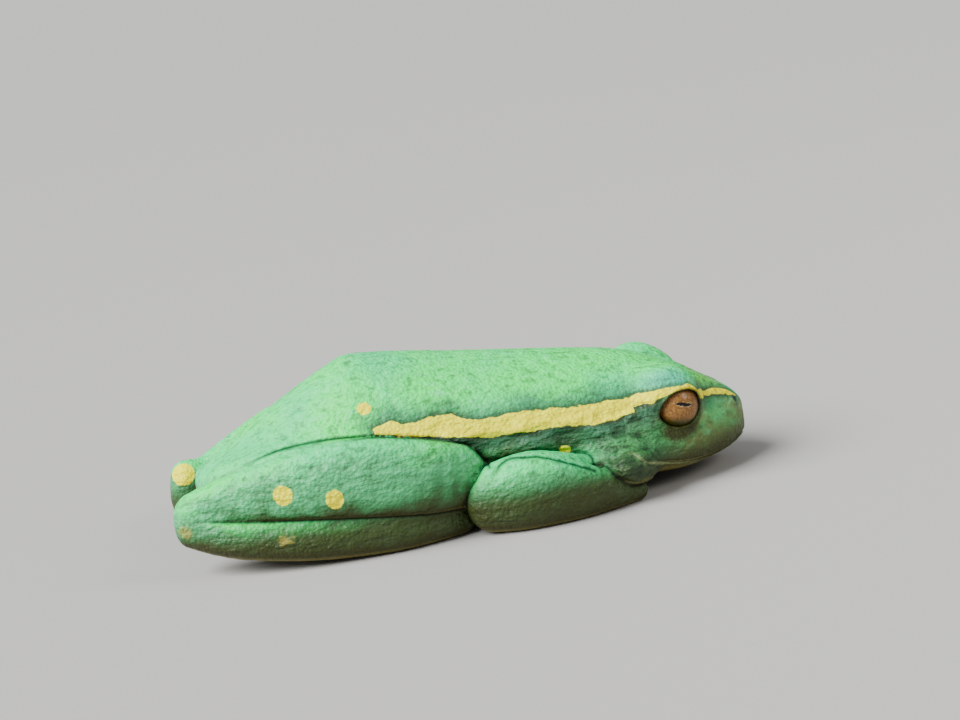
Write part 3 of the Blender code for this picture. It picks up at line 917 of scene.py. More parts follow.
def wanted_edge(p):
    """Longest edge allowed at each point."""
    q = on_right_side(p)
    from_eye = np.linalg.norm(q - EYE_CENTRE, axis=1)
    from_nostril = np.linalg.norm(q - NOSTRIL, axis=1)
    gap, shows = mouth_gap(p)
    by_mouth = (np.abs(gap) < FINE_BESIDE_MOUTH) & (shows > MOUTH_SHOWS) & (p[:, 2] < MOUTH_TOP)
    in_crease = (creases(p) > FINE_CREASE) & (p[:, 2] > ABOVE_FLOOR)
    wanted = np.full(len(p), COARSE_EDGE)
    wanted[from_eye < FINE_ROUND_EYE] = FINE_EDGE
    wanted[from_nostril < FINE_ROUND_NOSTRIL] = NOSTRIL_EDGE
    wanted[by_mouth] = FINE_EDGE
    wanted[in_crease] = np.minimum(wanted[in_crease], FINE_EDGE)
    return wanted


def halve_long_edges(verts, tris):
    """Puts a vertex in the middle of each edge that is too long and splits the faces beside it."""
    edges = np.sort(np.vstack([tris[:, [0, 1]], tris[:, [1, 2]], tris[:, [2, 0]]]), 1)
    edges, place = np.unique(edges, axis=0, return_inverse=True)
    place = place.reshape(3, -1).T
    middle = (verts[edges[:, 0]] + verts[edges[:, 1]]) / 2
    length = np.linalg.norm(verts[edges[:, 0]] - verts[edges[:, 1]], axis=1)
    long_ = length > TOO_LONG * wanted_edge(middle)
    number = np.full(len(edges), -1)
    number[long_] = len(verts) + np.arange(long_.sum())
    verts = np.vstack([verts, middle[long_]])
    new = number[place]
    marked = (new >= 0).sum(1)
    out = [tris[marked == 0]]
    for turn in range(3):
        t, m = np.roll(tris, -turn, 1), np.roll(new, -turn, 1)
        one = (marked == 1) & (m[:, 0] >= 0)
        out.append(np.stack([t[one, 0], m[one, 0], t[one, 2]], 1))
        out.append(np.stack([m[one, 0], t[one, 1], t[one, 2]], 1))
        two = (marked == 2) & (m[:, 2] < 0)
        out.append(np.stack([m[two, 0], t[two, 1], m[two, 1]], 1))
        out.append(np.stack([t[two, 0], m[two, 0], m[two, 1]], 1))
        out.append(np.stack([t[two, 0], m[two, 1], t[two, 2]], 1))
    t, m = tris[marked == 3], new[marked == 3]
    for corner in range(3):
        out.append(np.stack([t[:, corner], m[:, corner], m[:, corner - 1]], 1))
    out.append(m)
    return verts, np.vstack(out)


for _ in range(2):
    verts, tris = halve_long_edges(verts, tris)
    verts = pull_to_surface(skin_distance, verts)
verts = pull_to_surface(skin_distance, relax(verts, tris, LAST_RELAX))
print("halved to", len(tris), "triangles in", round(time.time() - clock), "s")

# %% Soften the creases
SOFTEN_ROUNDS = 2
SOFTEN_SHARE = 0.5


def soften(verts, tris, where):
    """Takes jagged edges out of the mesh in the region where, which holds 0 to 1 for each vertex."""
    for _ in range(SOFTEN_ROUNDS):
        verts = verts + (SOFTEN_SHARE * where)[:, None] * (neighbour_middle(verts, tris) - verts)
    return verts


verts = soften(verts, tris, creases(verts))
print("skin of", len(tris), "triangles in", round(time.time() - clock), "s")

# %% [markdown]
# ## Where the markings lie
#
# The pale stripe, the spots, the lids and the lips are not painted as a picture. Each vertex gets how far
# it lies inside or outside a marking, and the material turns that distance into colour with a ragged edge.
# The stripe runs along each side as a band between two curves, and goes on as a thin line over the eyelid.

# %% Sizes of the stripe
# Edges of the side band as x, z curves.
STRIPE_LOWER = np.array(
    (
        (-4.6, 5.75), (-2.9, 5.45), (-1.3, 5.19), (0.2, 4.89), (1.0, 4.7),
        (2.6, 4.58), (5.0, 4.5), (6.6, 4.31), (8.2, 4.24), (9.3, 4.42),
    )
)
STRIPE_UPPER = np.array(
    (
        (-4.6, 6.0), (-3.5, 6.28), (-2.7, 6.03), (-1.1, 6.16), (-0.3, 6.08), (0.4, 5.77),
        (1.2, 5.57), (3.6, 5.6), (6.0, 5.32), (8.5, 5.16), (9.4, 5.13),
    )
)
STRIPE_ENDS = (-4.45, 9.35)
STRIPE_FROM_MIDDLE = 2.5
# The thin line over the eyelid to the nostril: x, y, z, half width.
LID_LINE = np.array(
    (
        (9.00, -4.25, 5.00, 0.26),
        (9.75, -4.32, 5.08, 0.34),
        (10.30, -4.42, 5.10, 0.33),
        (10.80, -4.45, 5.18, 0.27),
        (11.26, -4.45, 5.27, 0.22),
        (11.70, -4.43, 5.33, 0.19),
        (12.16, -4.29, 5.32, 0.18),
        (12.50, -4.08, 5.27, 0.18),
        (12.76, -3.99, 5.09, 0.15),
        (12.93, -4.03, 4.72, 0.14),
        (13.14, -3.77, 4.65, 0.26),
        (13.48, -2.96, 4.48, 0.26),
        (13.85, -2.25, 4.33, 0.22),
        (14.26, -1.92, 4.24, 0.20),
        (14.64, -1.67, 4.13, 0.18),
        (15.15, -1.32, 3.91, 0.14),
        (15.55, -1.15, 3.64, 0.05),
    )
)
band_height = np.interp(STRIPE_LOWER[:, 0], *STRIPE_UPPER.T) - STRIPE_LOWER[:, 1]
print("side band up to", band_height.max().round(2), "mm high")

# %% Sizes of fold, spots and regions
# The pale fold along the throat's lower edge: x, y, z, half width.
THROAT_FOLD = np.array(
    (
        (6.9, -6.8, 2.2, 0.06),
        (7.2, -6.97, 1.8, 0.12),
        (7.7, -6.8, 1.36, 0.12),
        (8.5, -6.45, 1.12, 0.10),
        (9.1, -6.0, 1.1, 0.04),
    )
)
# Spots: x, y, z, half length, half height.
TRUNK_SPOTS = (
    (-4.71, -4.03, 7.02, 0.39, 0.30),
    (5.28, -5.10, 3.24, 0.31, 0.28),
    (-4.30, 4.10, 6.90, 0.34, 0.32),
    (5.10, 5.15, 3.30, 0.30, 0.27),
)
LEG_SPOTS = (
    (-9.60, -7.61, 4.09, 0.50, 0.53),
    (-7.06, -7.97, 3.52, 0.46, 0.54),
    (-14.80, 4.20, 3.25, 0.66, 0.60),
    (-9.90, 7.45, 3.60, 0.50, 0.50),
    (-6.70, 7.90, 3.40, 0.50, 0.46),
)
DULL_SPOTS = (
    (-14.76, -5.92, 2.63, 0.36, 0.40),
    (-9.80, -7.23, 1.81, 0.42, 0.30),
    (-9.60, 7.23, 1.60, 0.40, 0.34),
)
SPOT_DEPTH = 1.1
# Wrinkled regions of neck and flank, and the bluish brow: centre and radii of ball-shaped regions.
WRINKLED = (
    ((8.6, -5.0, 3.3), (3.8, 2.8, 2.6)),
    ((9.6, -4.6, 3.9), (2.2, 1.6, 1.7)),
    ((8.3, -6.2, 1.9), (3.2, 2.6, 2.2)),
    ((4.0, -5.2, 3.9), (4.4, 1.9, 1.7)),
    ((0.0, -5.8, 4.4), (2.4, 1.8, 1.5)),
)
BROW_ZONE = ((11.3, -3.8, 5.5), (2.1, 1.5, 1.3))
ZONE_EDGE = (1.0, 0.3)
print(len(TRUNK_SPOTS) + len(LEG_SPOTS), "bright spots and", len(DULL_SPOTS), "dull ones")

# %% Distances to bands, lines and spots


def band_distance(p):
    """How far inside the side band a point lies, positive inside."""
    low = np.interp(p[:, 0], STRIPE_LOWER[:, 0], STRIPE_LOWER[:, 1])
    high = np.interp(p[:, 0], STRIPE_UPPER[:, 0], STRIPE_UPPER[:, 1])
    along = np.minimum(p[:, 0] - STRIPE_ENDS[0], STRIPE_ENDS[1] - p[:, 0])
    inside = np.minimum(np.minimum(p[:, 2] - low, high - p[:, 2]), along)
    return np.where(np.abs(p[:, 1]) > STRIPE_FROM_MIDDLE, inside, -FAR)


def line_distance(p, line):
    """How far inside a line of changing width a point lies, on either side of the body."""
    q = on_right_side(p)
    best = np.full(len(p), -FAR)
    for a, b in zip(line, line[1:]):
        t, gap = along_segment(q, a[:3], b[:3])
        best = np.maximum(best, a[3] + t * (b[3] - a[3]) - gap)
    return best


def spot_distance(p, spots):
    """How far inside the nearest spot a point lies."""
    best = np.full(len(p), -FAR)
    for x, y, z, long_, high in spots:
        ratio = np.linalg.norm((p - (x, y, z)) / (long_, SPOT_DEPTH, high), axis=1)
        best = np.maximum(best, (1 - ratio) * min(long_, high))
    return best


def zone(p, centre, radii):
    """1 at the middle of a ball-shaped region and 0 outside it, on both sides of the body."""
    ratio = np.linalg.norm((on_right_side(p) - centre) / np.array(radii), axis=1)
    return ramp(ratio, *ZONE_EDGE)


print("vertices in the side band:", int((band_distance(verts) > 0).sum()))

# %% Work out the markings
LID_REACH = 2.6
LID_EDGE_FAR = 3.0
LOWER_LID_CENTRE = (-0.10, -1.22)
LOWER_LID_RADII = (1.35, 0.66)
LOWER_LID_EDGE = (1.15, 0.55)
LIP_BELOW = 0.07
LIP_WIDTH = 0.035
LIP_WIDER = 0.03
LIP_WIDENS = (9.0, 10.5)
LIP_FADES = (13.5, 11.0)
FOLD_OVERLAP = 0.03
SNOUT_X = (12.9, 13.7)
SNOUT_Z = (3.9, 4.3)
FACE_X = (9.6, 12.0)
WRINKLES_FROM_LIMBS = (0.0, 0.3)
NOSTRIL_MARK = (0.18, 0.25, 0.30)


def lid_marks(p):
    """Distance to the lids' edge, height over the eye's middle, and 1 on the lower lid."""
    right, left = (eye_frame(p, side) for side in SIDES.values())
    forward, up, out, radius = (np.where(p[:, 1] < 0, a, b) for a, b in zip(right, left))
    by_eye = (out > 0) & (radius < LID_REACH)
    edge = np.where(by_eye, opening_distance(forward, up), FAR)
    below = (np.stack([forward, up], 1) - LOWER_LID_CENTRE) / LOWER_LID_RADII
    return {
        "lid_edge": np.minimum(edge, LID_EDGE_FAR),
        "lid_up": np.where(edge < LID_EDGE_FAR, up, 0.0),
        "lower_lid": ramp(np.hypot(*below.T), *LOWER_LID_EDGE) * by_eye,
    }


def marks(p, tris):
    """Every value that the skin's material and relief read at a vertex, by its attribute's name."""
    x, z = p[:, 0], p[:, 2]
    body, lobes = groups(p)
    on_trunk = np.minimum.reduce([d for lobe in lobes for d in lobe]) - body
    gap, shows = mouth_gap(p)
    lip = shows * bell(gap + LIP_BELOW, LIP_WIDTH + LIP_WIDER * ramp(x, *LIP_WIDENS))
    stripe = np.maximum(band_distance(p), line_distance(p, LID_LINE))
    trunk_spots = np.minimum(spot_distance(p, TRUNK_SPOTS), on_trunk)
    from_nostril = np.linalg.norm((on_right_side(p) - np.array(NOSTRIL)) / NOSTRIL_MARK, axis=1)
    wrinkled = [zone(p, *region) for region in WRINKLED]
    return {
        "stripe": np.minimum(stripe, on_trunk),
        "spot": np.maximum(spot_distance(p, LEG_SPOTS), trunk_spots),
        "dull": spot_distance(p, DULL_SPOTS),
        "crease": creases(p),
        "facing": vertex_normals(p, tris)[:, 2],
        "height": z,
        **lid_marks(p),
        "lip": np.where(on_trunk > 0, lip, 0) * ramp(x, *LIP_FADES),
        "fold": np.minimum(line_distance(p, THROAT_FOLD), on_trunk + FOLD_OVERLAP),
        "nostril": bell(from_nostril, 1.0),
        "snout": ramp(x, *SNOUT_X) * ramp(z, *SNOUT_Z),
        "face": ramp(x, *FACE_X),
        "brow": zone(p, *BROW_ZONE),
        "wrinkle": np.maximum.reduce(wrinkled) * ramp(on_trunk, *WRINKLES_FROM_LIMBS),
    }


MARKS = marks(verts, tris)
print("markings:", ", ".join(MARKS))

# %% [markdown]
# ## Node trees
#
# The relief and all the materials are built from nodes. Small helpers keep the wiring short: a value given
# as a socket is linked, and any other value is set on the input.

# %% Helpers for every node tree
PER_MM = 1000.0


class Wiring:
    """Adds nodes to a tree. Sizes of patterns are given as a scale, so PER_MM / 0.5 is a grain of 0.5 mm."""

    def __init__(self, tree):
        self.tree = tree

    def set(self, node, key, value):
        """Links a socket to a node's input, or sets the input to a plain value."""
        if isinstance(value, bpy.types.NodeSocket):
            self.tree.links.new(value, node.inputs[key])
        else:
            node.inputs[key].default_value = value

    def node(self, kind, inputs, **settings):
        """Adds a node with its settings and its inputs."""
        made = self.tree.nodes.new(kind)
        for key, value in settings.items():
            setattr(made, key, value)
        for key, value in inputs.items():
            self.set(made, key, value)
        return made

    def maths(self, operation, a, b=0.0):
        """One step of arithmetic on one or two values."""
        return self.node("ShaderNodeMath", {0: a, 1: b}, operation=operation).outputs[0]

    def times(self, a, b):
        return self.maths("MULTIPLY", a, b)

    def plus(self, a, b):
        return self.maths("ADD", a, b)

    def step(self, value, start, end, low=0.0, high=1.0):
        """Low where the value is at start, high where it is at end, and smooth between."""
        inputs = {"Value": value, "From Min": start, "From Max": end, "To Min": low, "To Max": high}
        return self.node("ShaderNodeMapRange", inputs, interpolation_type="SMOOTHSTEP").outputs[0]

    def noise(self, where, scale, detail=2.0, stretch=(1, 1, 1)):
        """Noise read at a place, and drawn out along an axis where stretch is below 1."""
        scaled = self.node("ShaderNodeVectorMath", {0: where, 1: stretch}, operation="MULTIPLY").outputs[0]
        inputs = {"Vector": scaled, "Scale": scale, "Detail": detail}
        return self.node("ShaderNodeTexNoise", inputs).outputs[0]


print("a grain of 0.5 mm has the scale", PER_MM / 0.5)

# %% Helpers for materials


class MaterialWiring(Wiring):
    """A new material and the helpers that only materials need."""

    def __init__(self, name):
        self.material = bpy.data.materials.new(name)
        self.material.use_nodes = True
        super().__init__(self.material.node_tree)
        self.shader = self.tree.nodes["Principled BSDF"]

    def finish(self, **values):
        """Sets or links the shader's inputs, each named with _ for a space, and gives the material."""
        for name, value in values.items():
            self.set(self.shader, name.replace("_", " "), value)
        return self.material

    def place(self):
        """A point's place in metres, in the object's own frame."""
        return self.node("ShaderNodeTexCoord", {}).outputs["Object"]

    def attribute(self, name):
        """A value that the vertices carry."""
        return self.node("ShaderNodeAttribute", {}, attribute_name=name).outputs["Fac"]

    def mix(self, share, a, b):
        """Colour a where the share is 0 and colour b where it is 1."""
        return self.node("ShaderNodeMix", {0: share, 6: a, 7: b}, data_type="RGBA").outputs[2]

    def over(self, colour, *layers):
        """Lays colours over the given one in turn, each with its share from 0 to 1."""
        for share, tint in layers:
            colour = self.mix(share, colour, tint)
        return colour

    def ragged(self, pattern, reach):
        """A noise pattern turned into a shift of at most reach to either side."""
        return self.step(pattern, 0.2, 0.8, -reach, reach)

    def cells(self, where, scale, feature="F1"):
        """A pattern of round cells, or of their edges."""
        inputs = {"Vector": where, "Scale": scale}
        return self.node("ShaderNodeTexVoronoi", inputs, feature=feature).outputs["Distance"]

    def bump(self, height, strength, distance):
        """Shading of fine relief, at most distance metres deep."""
        inputs = {"Strength": strength, "Distance": distance, "Height": height}
        return self.node("ShaderNodeBump", inputs).outputs[0]


def add_values(mesh, values_by_name):
    """Gives the mesh one number at each vertex for every name."""
    for name, values in values_by_name.items():
        mesh.attributes.new(name, "FLOAT", "POINT").data.foreach_set("value", values.astype(np.float32))


print("vertex values:", len(MARKS), "on the skin")

# %% [markdown]
# ## Relief on the skin
#
# The back is finely granular and the neck is wrinkled. A sculpted normal picture would tie the relief to
# one layout of the skin. Geometry Nodes instead push every vertex along its normal by noise that is read at
# its own place, more in the wrinkled regions, and lift the stripe a little, as its skin is thicker.

# %% Node tree for the relief
RELIEF = {
    "Granule Size": 0.50 * MM,
    "Granule Height": 0.07 * MM,
    "Wrinkle Size": 0.62 * MM,
    "Wrinkle Height": 0.85 * MM,
    "Stripe Height": 0.035 * MM,
}
RELIEF_DETAIL = 1.5
GRANULE_STRETCH = (0.8, 1, 1)
WRINKLE_STRETCH = (0.45, 1, 1)
STRIPE_RISE = (-0.06, 0.06)
OFF_EYE = (0.05, 0.5)
OFF_FLOOR = (0.15, 0.6)


def relief_tree():
    """Granules, wrinkles and the raised stripe, left out beside the eyes and near the floor."""
    tree = bpy.data.node_groups.new("skin relief", "GeometryNodeTree")
    sockets = tree.interface
    sockets.new_socket("Geometry", in_out="INPUT", socket_type="NodeSocketGeometry")
    for name, value in RELIEF.items():
        sockets.new_socket(name, in_out="INPUT", socket_type="NodeSocketFloat").default_value = value
    sockets.new_socket("Material", in_out="INPUT", socket_type="NodeSocketMaterial")
    sockets.new_socket("Geometry", in_out="OUTPUT", socket_type="NodeSocketGeometry")
    w = Wiring(tree)
    given = w.node("NodeGroupInput", {}).outputs
    place = w.node("GeometryNodeInputPosition", {}).outputs[0]

    def named(name):
        inputs = {"Name": name}
        return w.node("GeometryNodeInputNamedAttribute", inputs, data_type="FLOAT").outputs["Attribute"]

    def waves(kind, stretch):
        scale = w.maths("DIVIDE", 1.0, given[f"{kind} Size"])
        centred = w.maths("SUBTRACT", w.noise(place, scale, RELIEF_DETAIL, stretch), 0.5)
        return w.times(centred, given[f"{kind} Height"])

    granules = waves("Granule", GRANULE_STRETCH)
    folds = w.times(waves("Wrinkle", WRINKLE_STRETCH), named("wrinkle"))
    raised = w.times(w.step(named("stripe"), *STRIPE_RISE), given["Stripe Height"])
    height = w.plus(w.plus(granules, folds), raised)
    height = w.times(height, w.step(named("lid_edge"), *OFF_EYE))
    height = w.times(height, w.step(named("height"), *OFF_FLOOR))
    normal = w.node("GeometryNodeInputNormal", {}).outputs[0]
    offset = w.node("ShaderNodeVectorMath", {0: normal, "Scale": height}, operation="SCALE").outputs[0]
    moved = w.node("GeometryNodeSetPosition", {"Geometry": given["Geometry"], "Offset": offset}).outputs[0]
    real = w.node("GeometryNodeRealizeInstances", {"Geometry": moved}).outputs[0]
    dressed = w.node("GeometryNodeSetMaterial", {"Geometry": real, "Material": given["Material"]}).outputs[0]
    w.node("NodeGroupOutput", {"Geometry": dressed})
    return tree


def apply_nodes(piece, tree, values):
    """Runs a node tree on a piece and keeps the result as its plain mesh."""
    modifier = piece.modifiers.new(tree.name, "NODES")
    modifier.node_group = tree
    for item in tree.interface.items_tree:
        if item.in_out == "INPUT" and item.name in values:
            modifier[item.identifier] = values[item.name]
    evaluated = piece.evaluated_get(bpy.context.evaluated_depsgraph_get())
    made = bpy.data.meshes.new_from_object(evaluated)
    piece.modifiers.remove(modifier)
    before = piece.data
    piece.data = made
    bpy.data.meshes.remove(before)
    made.name = piece.name


print("relief with", len(RELIEF), "sizes")

# %% [markdown]
# ## The eyeballs
#
# Each eyeball is a ball with its rings round the line of sight. Every vertex carries how far forwards, up
# and outwards it lies from the pupil, from which the eye's material draws the slit and the iris.

# %% Eyeballs
EYE_RINGS = 72
EYE_SPOKES = 96
PUPIL_PLACE = (0.16, 0.14)
PUPIL_TILT = -11.0


def eyeball(name, side):
    """A ball in one eye's place, worked out in the eye's own frame of forwards, up and outwards."""
    turn = np.linspace(0, math.pi, EYE_RINGS + 2)[1:-1]
    spin = np.arange(EYE_SPOKES) * 2 * math.pi / EYE_SPOKES
    out = np.cos(turn)[:, None] + 0 * spin
    forward = np.sin(turn)[:, None] * np.cos(spin)
    up = np.sin(turn)[:, None] * np.sin(spin)
    local = np.stack([forward, up, out], -1).reshape(-1, 3)
    local = np.vstack([local, [(0, 0, 1), (0, 0, -1)]]) * EYE_RADIUS
    lean = math.radians(PUPIL_TILT)
    forward, up = (local[:, k] - PUPIL_PLACE[k] for k in (0, 1))
    ahead = forward * math.cos(lean) + up * math.sin(lean)
    above = up * math.cos(lean) - forward * math.sin(lean)
    points = local[:, :1] * EYE_FORWARD + local[:, 1:2] * EYE_UP + local[:, 2:] * EYE_OUT
    points = points * (1, side, 1) + mirrored(EYE_CENTRE, side)
    index = np.arange(EYE_RINGS * EYE_SPOKES).reshape(EYE_RINGS, EYE_SPOKES)
    after = np.roll(index, -1, 1)
    quads = np.stack([index[:-1], index[1:], after[1:], after[:-1]], -1).reshape(-1, 4)
    front, rear = len(local) - 2, len(local) - 1
    caps = [(front, i, j) for i, j in zip(index[0], after[0])]
    caps += [(rear, j, i) for i, j in zip(index[-1], after[-1])]
    faces = [list(map(int, f)) for f in quads] + [list(map(int, f)) for f in caps]
    if side > 0:
        faces = [f[::-1] for f in faces]
    mesh = bpy.data.meshes.new(name)
    mesh.from_pydata((points * MM).tolist(), [], faces)
    mesh.shade_smooth()
    add_values(mesh, {"ahead": ahead, "above": above, "outward": local[:, 2]})
    piece = linked(name, mesh)
    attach(piece, "root")
    return piece


eyes = []
for side_name, side in SIDES.items():
    eye_piece = eyeball(f"eyeball_{side_name}", side)
    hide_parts(f"eye_{side_name}")
    eyes.append(eye_piece)
print("eyeballs", 2 * EYE_RADIUS, "mm across")

# %% [markdown]
# ## The skin's look
#
# A reed frog's skin is moist and thin. Colour comes first, from back to belly by how far the surface faces
# up and how high it lies, partly the frog's own countershading and partly painted shade, with blue and dark
# patches of several sizes. The wrinkled neck and flank are darker, partly with painted shade, and painted
# shade lies in their folds and along the stripe. The markings are laid over it in the order in which they
# hide one another: throat fold and lip, stripe and spots, nostril with painted shade in its opening, lids,
# and painted shade in the creases.

# %% Colours of the skin
BACK_GREEN = (0.015, 0.900, 0.130, 1)
BACK_BLUE = (0.012, 0.660, 0.250, 1)
BROW_BLUE = (0.045, 0.560, 0.360, 1)
SNOUT_GREEN = (0.140, 0.520, 0.060, 1)
# Darker tones for the sides of trunk and face: partly the frog's own countershading, partly painted shade.
SIDE_SHADE_GREEN = (0.060, 0.450, 0.160, 1)
FACE_GREEN = (0.200, 0.310, 0.085, 1)
# Dark olive for downward faces and parts near the floor: painted shade, partly the frog's own
# countershading.
LOW_SHADE_GREEN = (0.034, 0.037, 0.005, 1)
# Dark green for mottling in folds and grain, and painted shade over the wrinkled neck and flank.
DEEP_GREEN_AND_SHADE = (0.048, 0.078, 0.030, 1)
# Painted shade in a band along both edges of the stripe.
STRIPE_SHADE_BLUE = (0.040, 0.140, 0.085, 1)
FRECKLE = (0.120, 0.820, 0.330, 1)
UNDERSIDE = (0.220, 0.190, 0.050, 1)
YELLOW = (0.900, 0.900, 0.001, 1)
YELLOW_DEEP = (0.820, 0.640, 0.001, 1)
YELLOW_DULL = (0.450, 0.360, 0.050, 1)
STRIPE_BORDER = (0.030, 0.050, 0.020, 1)
LID_OLIVE = (0.030, 0.036, 0.004, 1)
LID_BROWN = (0.022, 0.019, 0.005, 1)
LID_LINE_DARK = (0.008, 0.008, 0.005, 1)
LIP_CREAM = (0.340, 0.380, 0.160, 1)
# Painted shade in the nostril's opening.
NOSTRIL_SHADE = (0.030, 0.045, 0.040, 1)
# Painted shade in the valleys of the neck and flank wrinkles.
FOLD_VALLEY_SHADE = (0.010, 0.028, 0.010, 1)
# Painted shade in the creases between the masses.
CREASE_SHADE = (0.0015, 0.0040, 0.0008, 1)
print("back green", BACK_GREEN[:3], "and yellow", YELLOW[:3])

# %% Patterns and ground colour


def skin_patterns(w):
    """Noise of several sizes in mm, some of it drawn out along the body."""
    where = w.place()
    return {
        "broad": w.noise(where, PER_MM / 5.0),
        "patch": w.noise(where, PER_MM / 1.4, 3.0),
        "border": w.noise(where, PER_MM / 0.8),
        "waves": w.noise(where, PER_MM / 0.70, 3.0, (0.45, 1, 1.3)),
        "folds": w.noise(where, PER_MM / 0.42, 3.0, (0.55, 1, 1.2)),
        "grain": w.noise(where, PER_MM / 0.26, 3.0, (0.7, 1, 1)),
        "granule": w.cells(where, PER_MM / 0.20),
    }


def ground_colour(w, pattern):
    """Green back; sides and low parts darker, partly countershading and partly painted shade; pale
    underside, freckles and folds, and painted shade along the stripe and on the wrinkled neck and flank and
    their folds.
    """
    facing, wrinkle, brow = (w.attribute(name) for name in ("facing", "wrinkle", "brow"))
    folds, grain = pattern["folds"], pattern["grain"]
    back = w.mix(w.step(pattern["broad"], 0.35, 0.65, 0.0, 0.7), BACK_GREEN, BACK_BLUE)
    side = w.mix(w.attribute("face"), SIDE_SHADE_GREEN, FACE_GREEN)
    shade = w.plus(facing, w.ragged(pattern["patch"], 0.22))
    near_stripe = w.plus(w.attribute("stripe"), w.ragged(pattern["patch"], 0.35))
    # Painted shade in a band along the stripe's edges, weaker on the brow.
    stripe_shade = w.times(w.step(near_stripe, -1.1, -0.1), w.step(brow, 0.0, 0.5, 0.75, 0.25))
    # Painted shade in the valleys of the wrinkles, where the relief lies lowest.
    valley_shade = w.times(w.step(pattern["waves"], 0.55, 0.42), wrinkle)
    return w.over(
        back,
        (w.times(brow, 0.8), BROW_BLUE),
        # Sides darker the less they face up: partly countershading, partly painted shade.
        (w.step(shade, 0.75, 0.05), side),
        (w.times(w.attribute("snout"), 0.8), SNOUT_GREEN),
        (w.step(folds, 0.54, 0.72, 0.0, 0.50), FRECKLE),
        # Downward faces and parts near the floor darker: painted shade, partly countershading.
        (w.step(shade, 0.10, -0.55), LOW_SHADE_GREEN),
        (w.step(w.attribute("height"), 3.5, 1.5, 0.0, 0.95), LOW_SHADE_GREEN),
        # Wrinkled neck and flank darker: partly their own colour, partly painted shade.
        (w.times(wrinkle, 0.80), DEEP_GREEN_AND_SHADE),
        (stripe_shade, STRIPE_SHADE_BLUE),
        (w.step(folds, 0.47, 0.30, 0.0, 0.50), DEEP_GREEN_AND_SHADE),
        (w.step(grain, 0.50, 0.25, 0.0, 0.35), DEEP_GREEN_AND_SHADE),
        (w.times(valley_shade, 0.7), FOLD_VALLEY_SHADE),
        (w.step(facing, -0.55, -0.95, 0.0, 0.9), UNDERSIDE),
    )


print("ground colour from", BACK_GREEN[:3], "to", LOW_SHADE_GREEN[:3])

# %% Markings, lids and creases


def with_markings(w, pattern, colour):
    """Throat fold, lip, stripe, spots, and painted shade in the nostril, with ragged edges where the
    animal's are.
    """
    pale = w.maths("MAXIMUM", w.attribute("lip"), w.step(w.attribute("fold"), -0.08, 0.03))
    ragged = w.plus(w.ragged(pattern["grain"], 0.045), w.ragged(pattern["border"], 0.08))
    stripe = w.plus(w.attribute("stripe"), ragged)
    border = w.times(w.step(stripe, -0.30, -0.02), w.step(stripe, 0.06, 0.0))
    yellow = w.mix(w.step(pattern["granule"], 0.3, 0.65, 0.0, 0.55), YELLOW, YELLOW_DEEP)
    spot_edge = w.ragged(pattern["grain"], 0.05)
    in_spot = w.step(w.plus(w.attribute("spot"), spot_edge), -0.02, 0.03)
    dull = w.step(w.plus(w.attribute("dull"), w.times(spot_edge, 3.0)), -0.1, 0.15)
    return w.over(
        colour,
        (w.attribute("lower_lid"), LID_OLIVE),
        (w.times(pale, 0.55), LIP_CREAM),
        (w.times(border, 0.7), STRIPE_BORDER),
        (w.maths("MAXIMUM", w.step(stripe, -0.02, 0.03), in_spot), yellow),
        (w.times(dull, 0.5), YELLOW_DULL),
        # Painted shade in the nostril's opening.
        (w.step(w.attribute("nostril"), 0.25, 0.7, 0.0, 0.9), NOSTRIL_SHADE),
    )


def with_lids_and_creases(w, colour):
    """The lids' dark edge, the wall of the eye's pit, and painted shade in the lines between the masses."""
    lid_edge = w.attribute("lid_edge")
    upper_lid = w.step(w.attribute("lid_up"), 0.1, 0.4)
    dark_line = w.times(w.step(lid_edge, 0.09, 0.03), w.times(upper_lid, 0.85))
    return w.over(
        colour,
        (w.step(lid_edge, 0.24, 0.06, 0.0, 0.75), LID_OLIVE),
        (dark_line, LID_LINE_DARK),
        (w.step(lid_edge, 0.0, -0.08, 0.0, 0.95), w.mix(upper_lid, LID_BROWN, LID_LINE_DARK)),
        # Painted shade in the creases.
        (w.times(w.attribute("crease"), 0.9), CREASE_SHADE),
    )


print("stripe border", STRIPE_BORDER[:3], "and crease", CREASE_SHADE[:3])

# %% Skin material
SKIN_BUMP_DEPTH = 0.00015


def skin_material():
    """The skin is moderately glossy, and matt in the creases, where no sky is mirrored."""
    w = MaterialWiring("skin")
    pattern = skin_patterns(w)
    colour = with_markings(w, pattern, ground_colour(w, pattern))
    height = w.plus(w.times(pattern["folds"], 1.3), w.times(pattern["granule"], -0.35))
    height = w.plus(height, w.times(pattern["grain"], 0.5))
    height = w.plus(height, w.times(w.times(pattern["waves"], w.attribute("wrinkle")), 3.0))
    return w.finish(
        Base_Color=with_lids_and_creases(w, colour),
        Roughness=w.step(w.attribute("crease"), 0.1, 0.8, 0.45, 0.95),
        Specular_IOR_Level=0.25,
        Normal=w.bump(height, 1.0, SKIN_BUMP_DEPTH),
    )


skin_look = skin_material()
print("skin material with", len(skin_look.node_tree.nodes), "nodes")

# %% [markdown]
# ## The skin as one piece
#
# The solids hold the flesh as separate parts. One skin stands for all of them here, so that hip, shoulder
# and throat run on without a seam. The relief is worked out once, and the piece keeps a plain mesh.

# %% Make the skin piece
SKIN_NODES = ["torso", "head", "lower_jaw"] + [
    f"{part}_{side}"
    for part in ("upper_arm", "forearm", "hand", "thigh", "shank", "tarsus", "foot")
    for side in SIDES
]


def skin_piece():
    """The mesh with its markings and relief, standing for all the solids of flesh."""
    mesh = bpy.data.meshes.new("skin")
    mesh.from_pydata((verts * MM).tolist(), [], tris.tolist())
    mesh.shade_smooth()
    add_values(mesh, MARKS)
    piece = linked("skin", mesh)
    apply_nodes(piece, relief_tree(), {**RELIEF, "Material": skin_look})
    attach(piece, "root")
    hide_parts(*SKIN_NODES)
    return piece


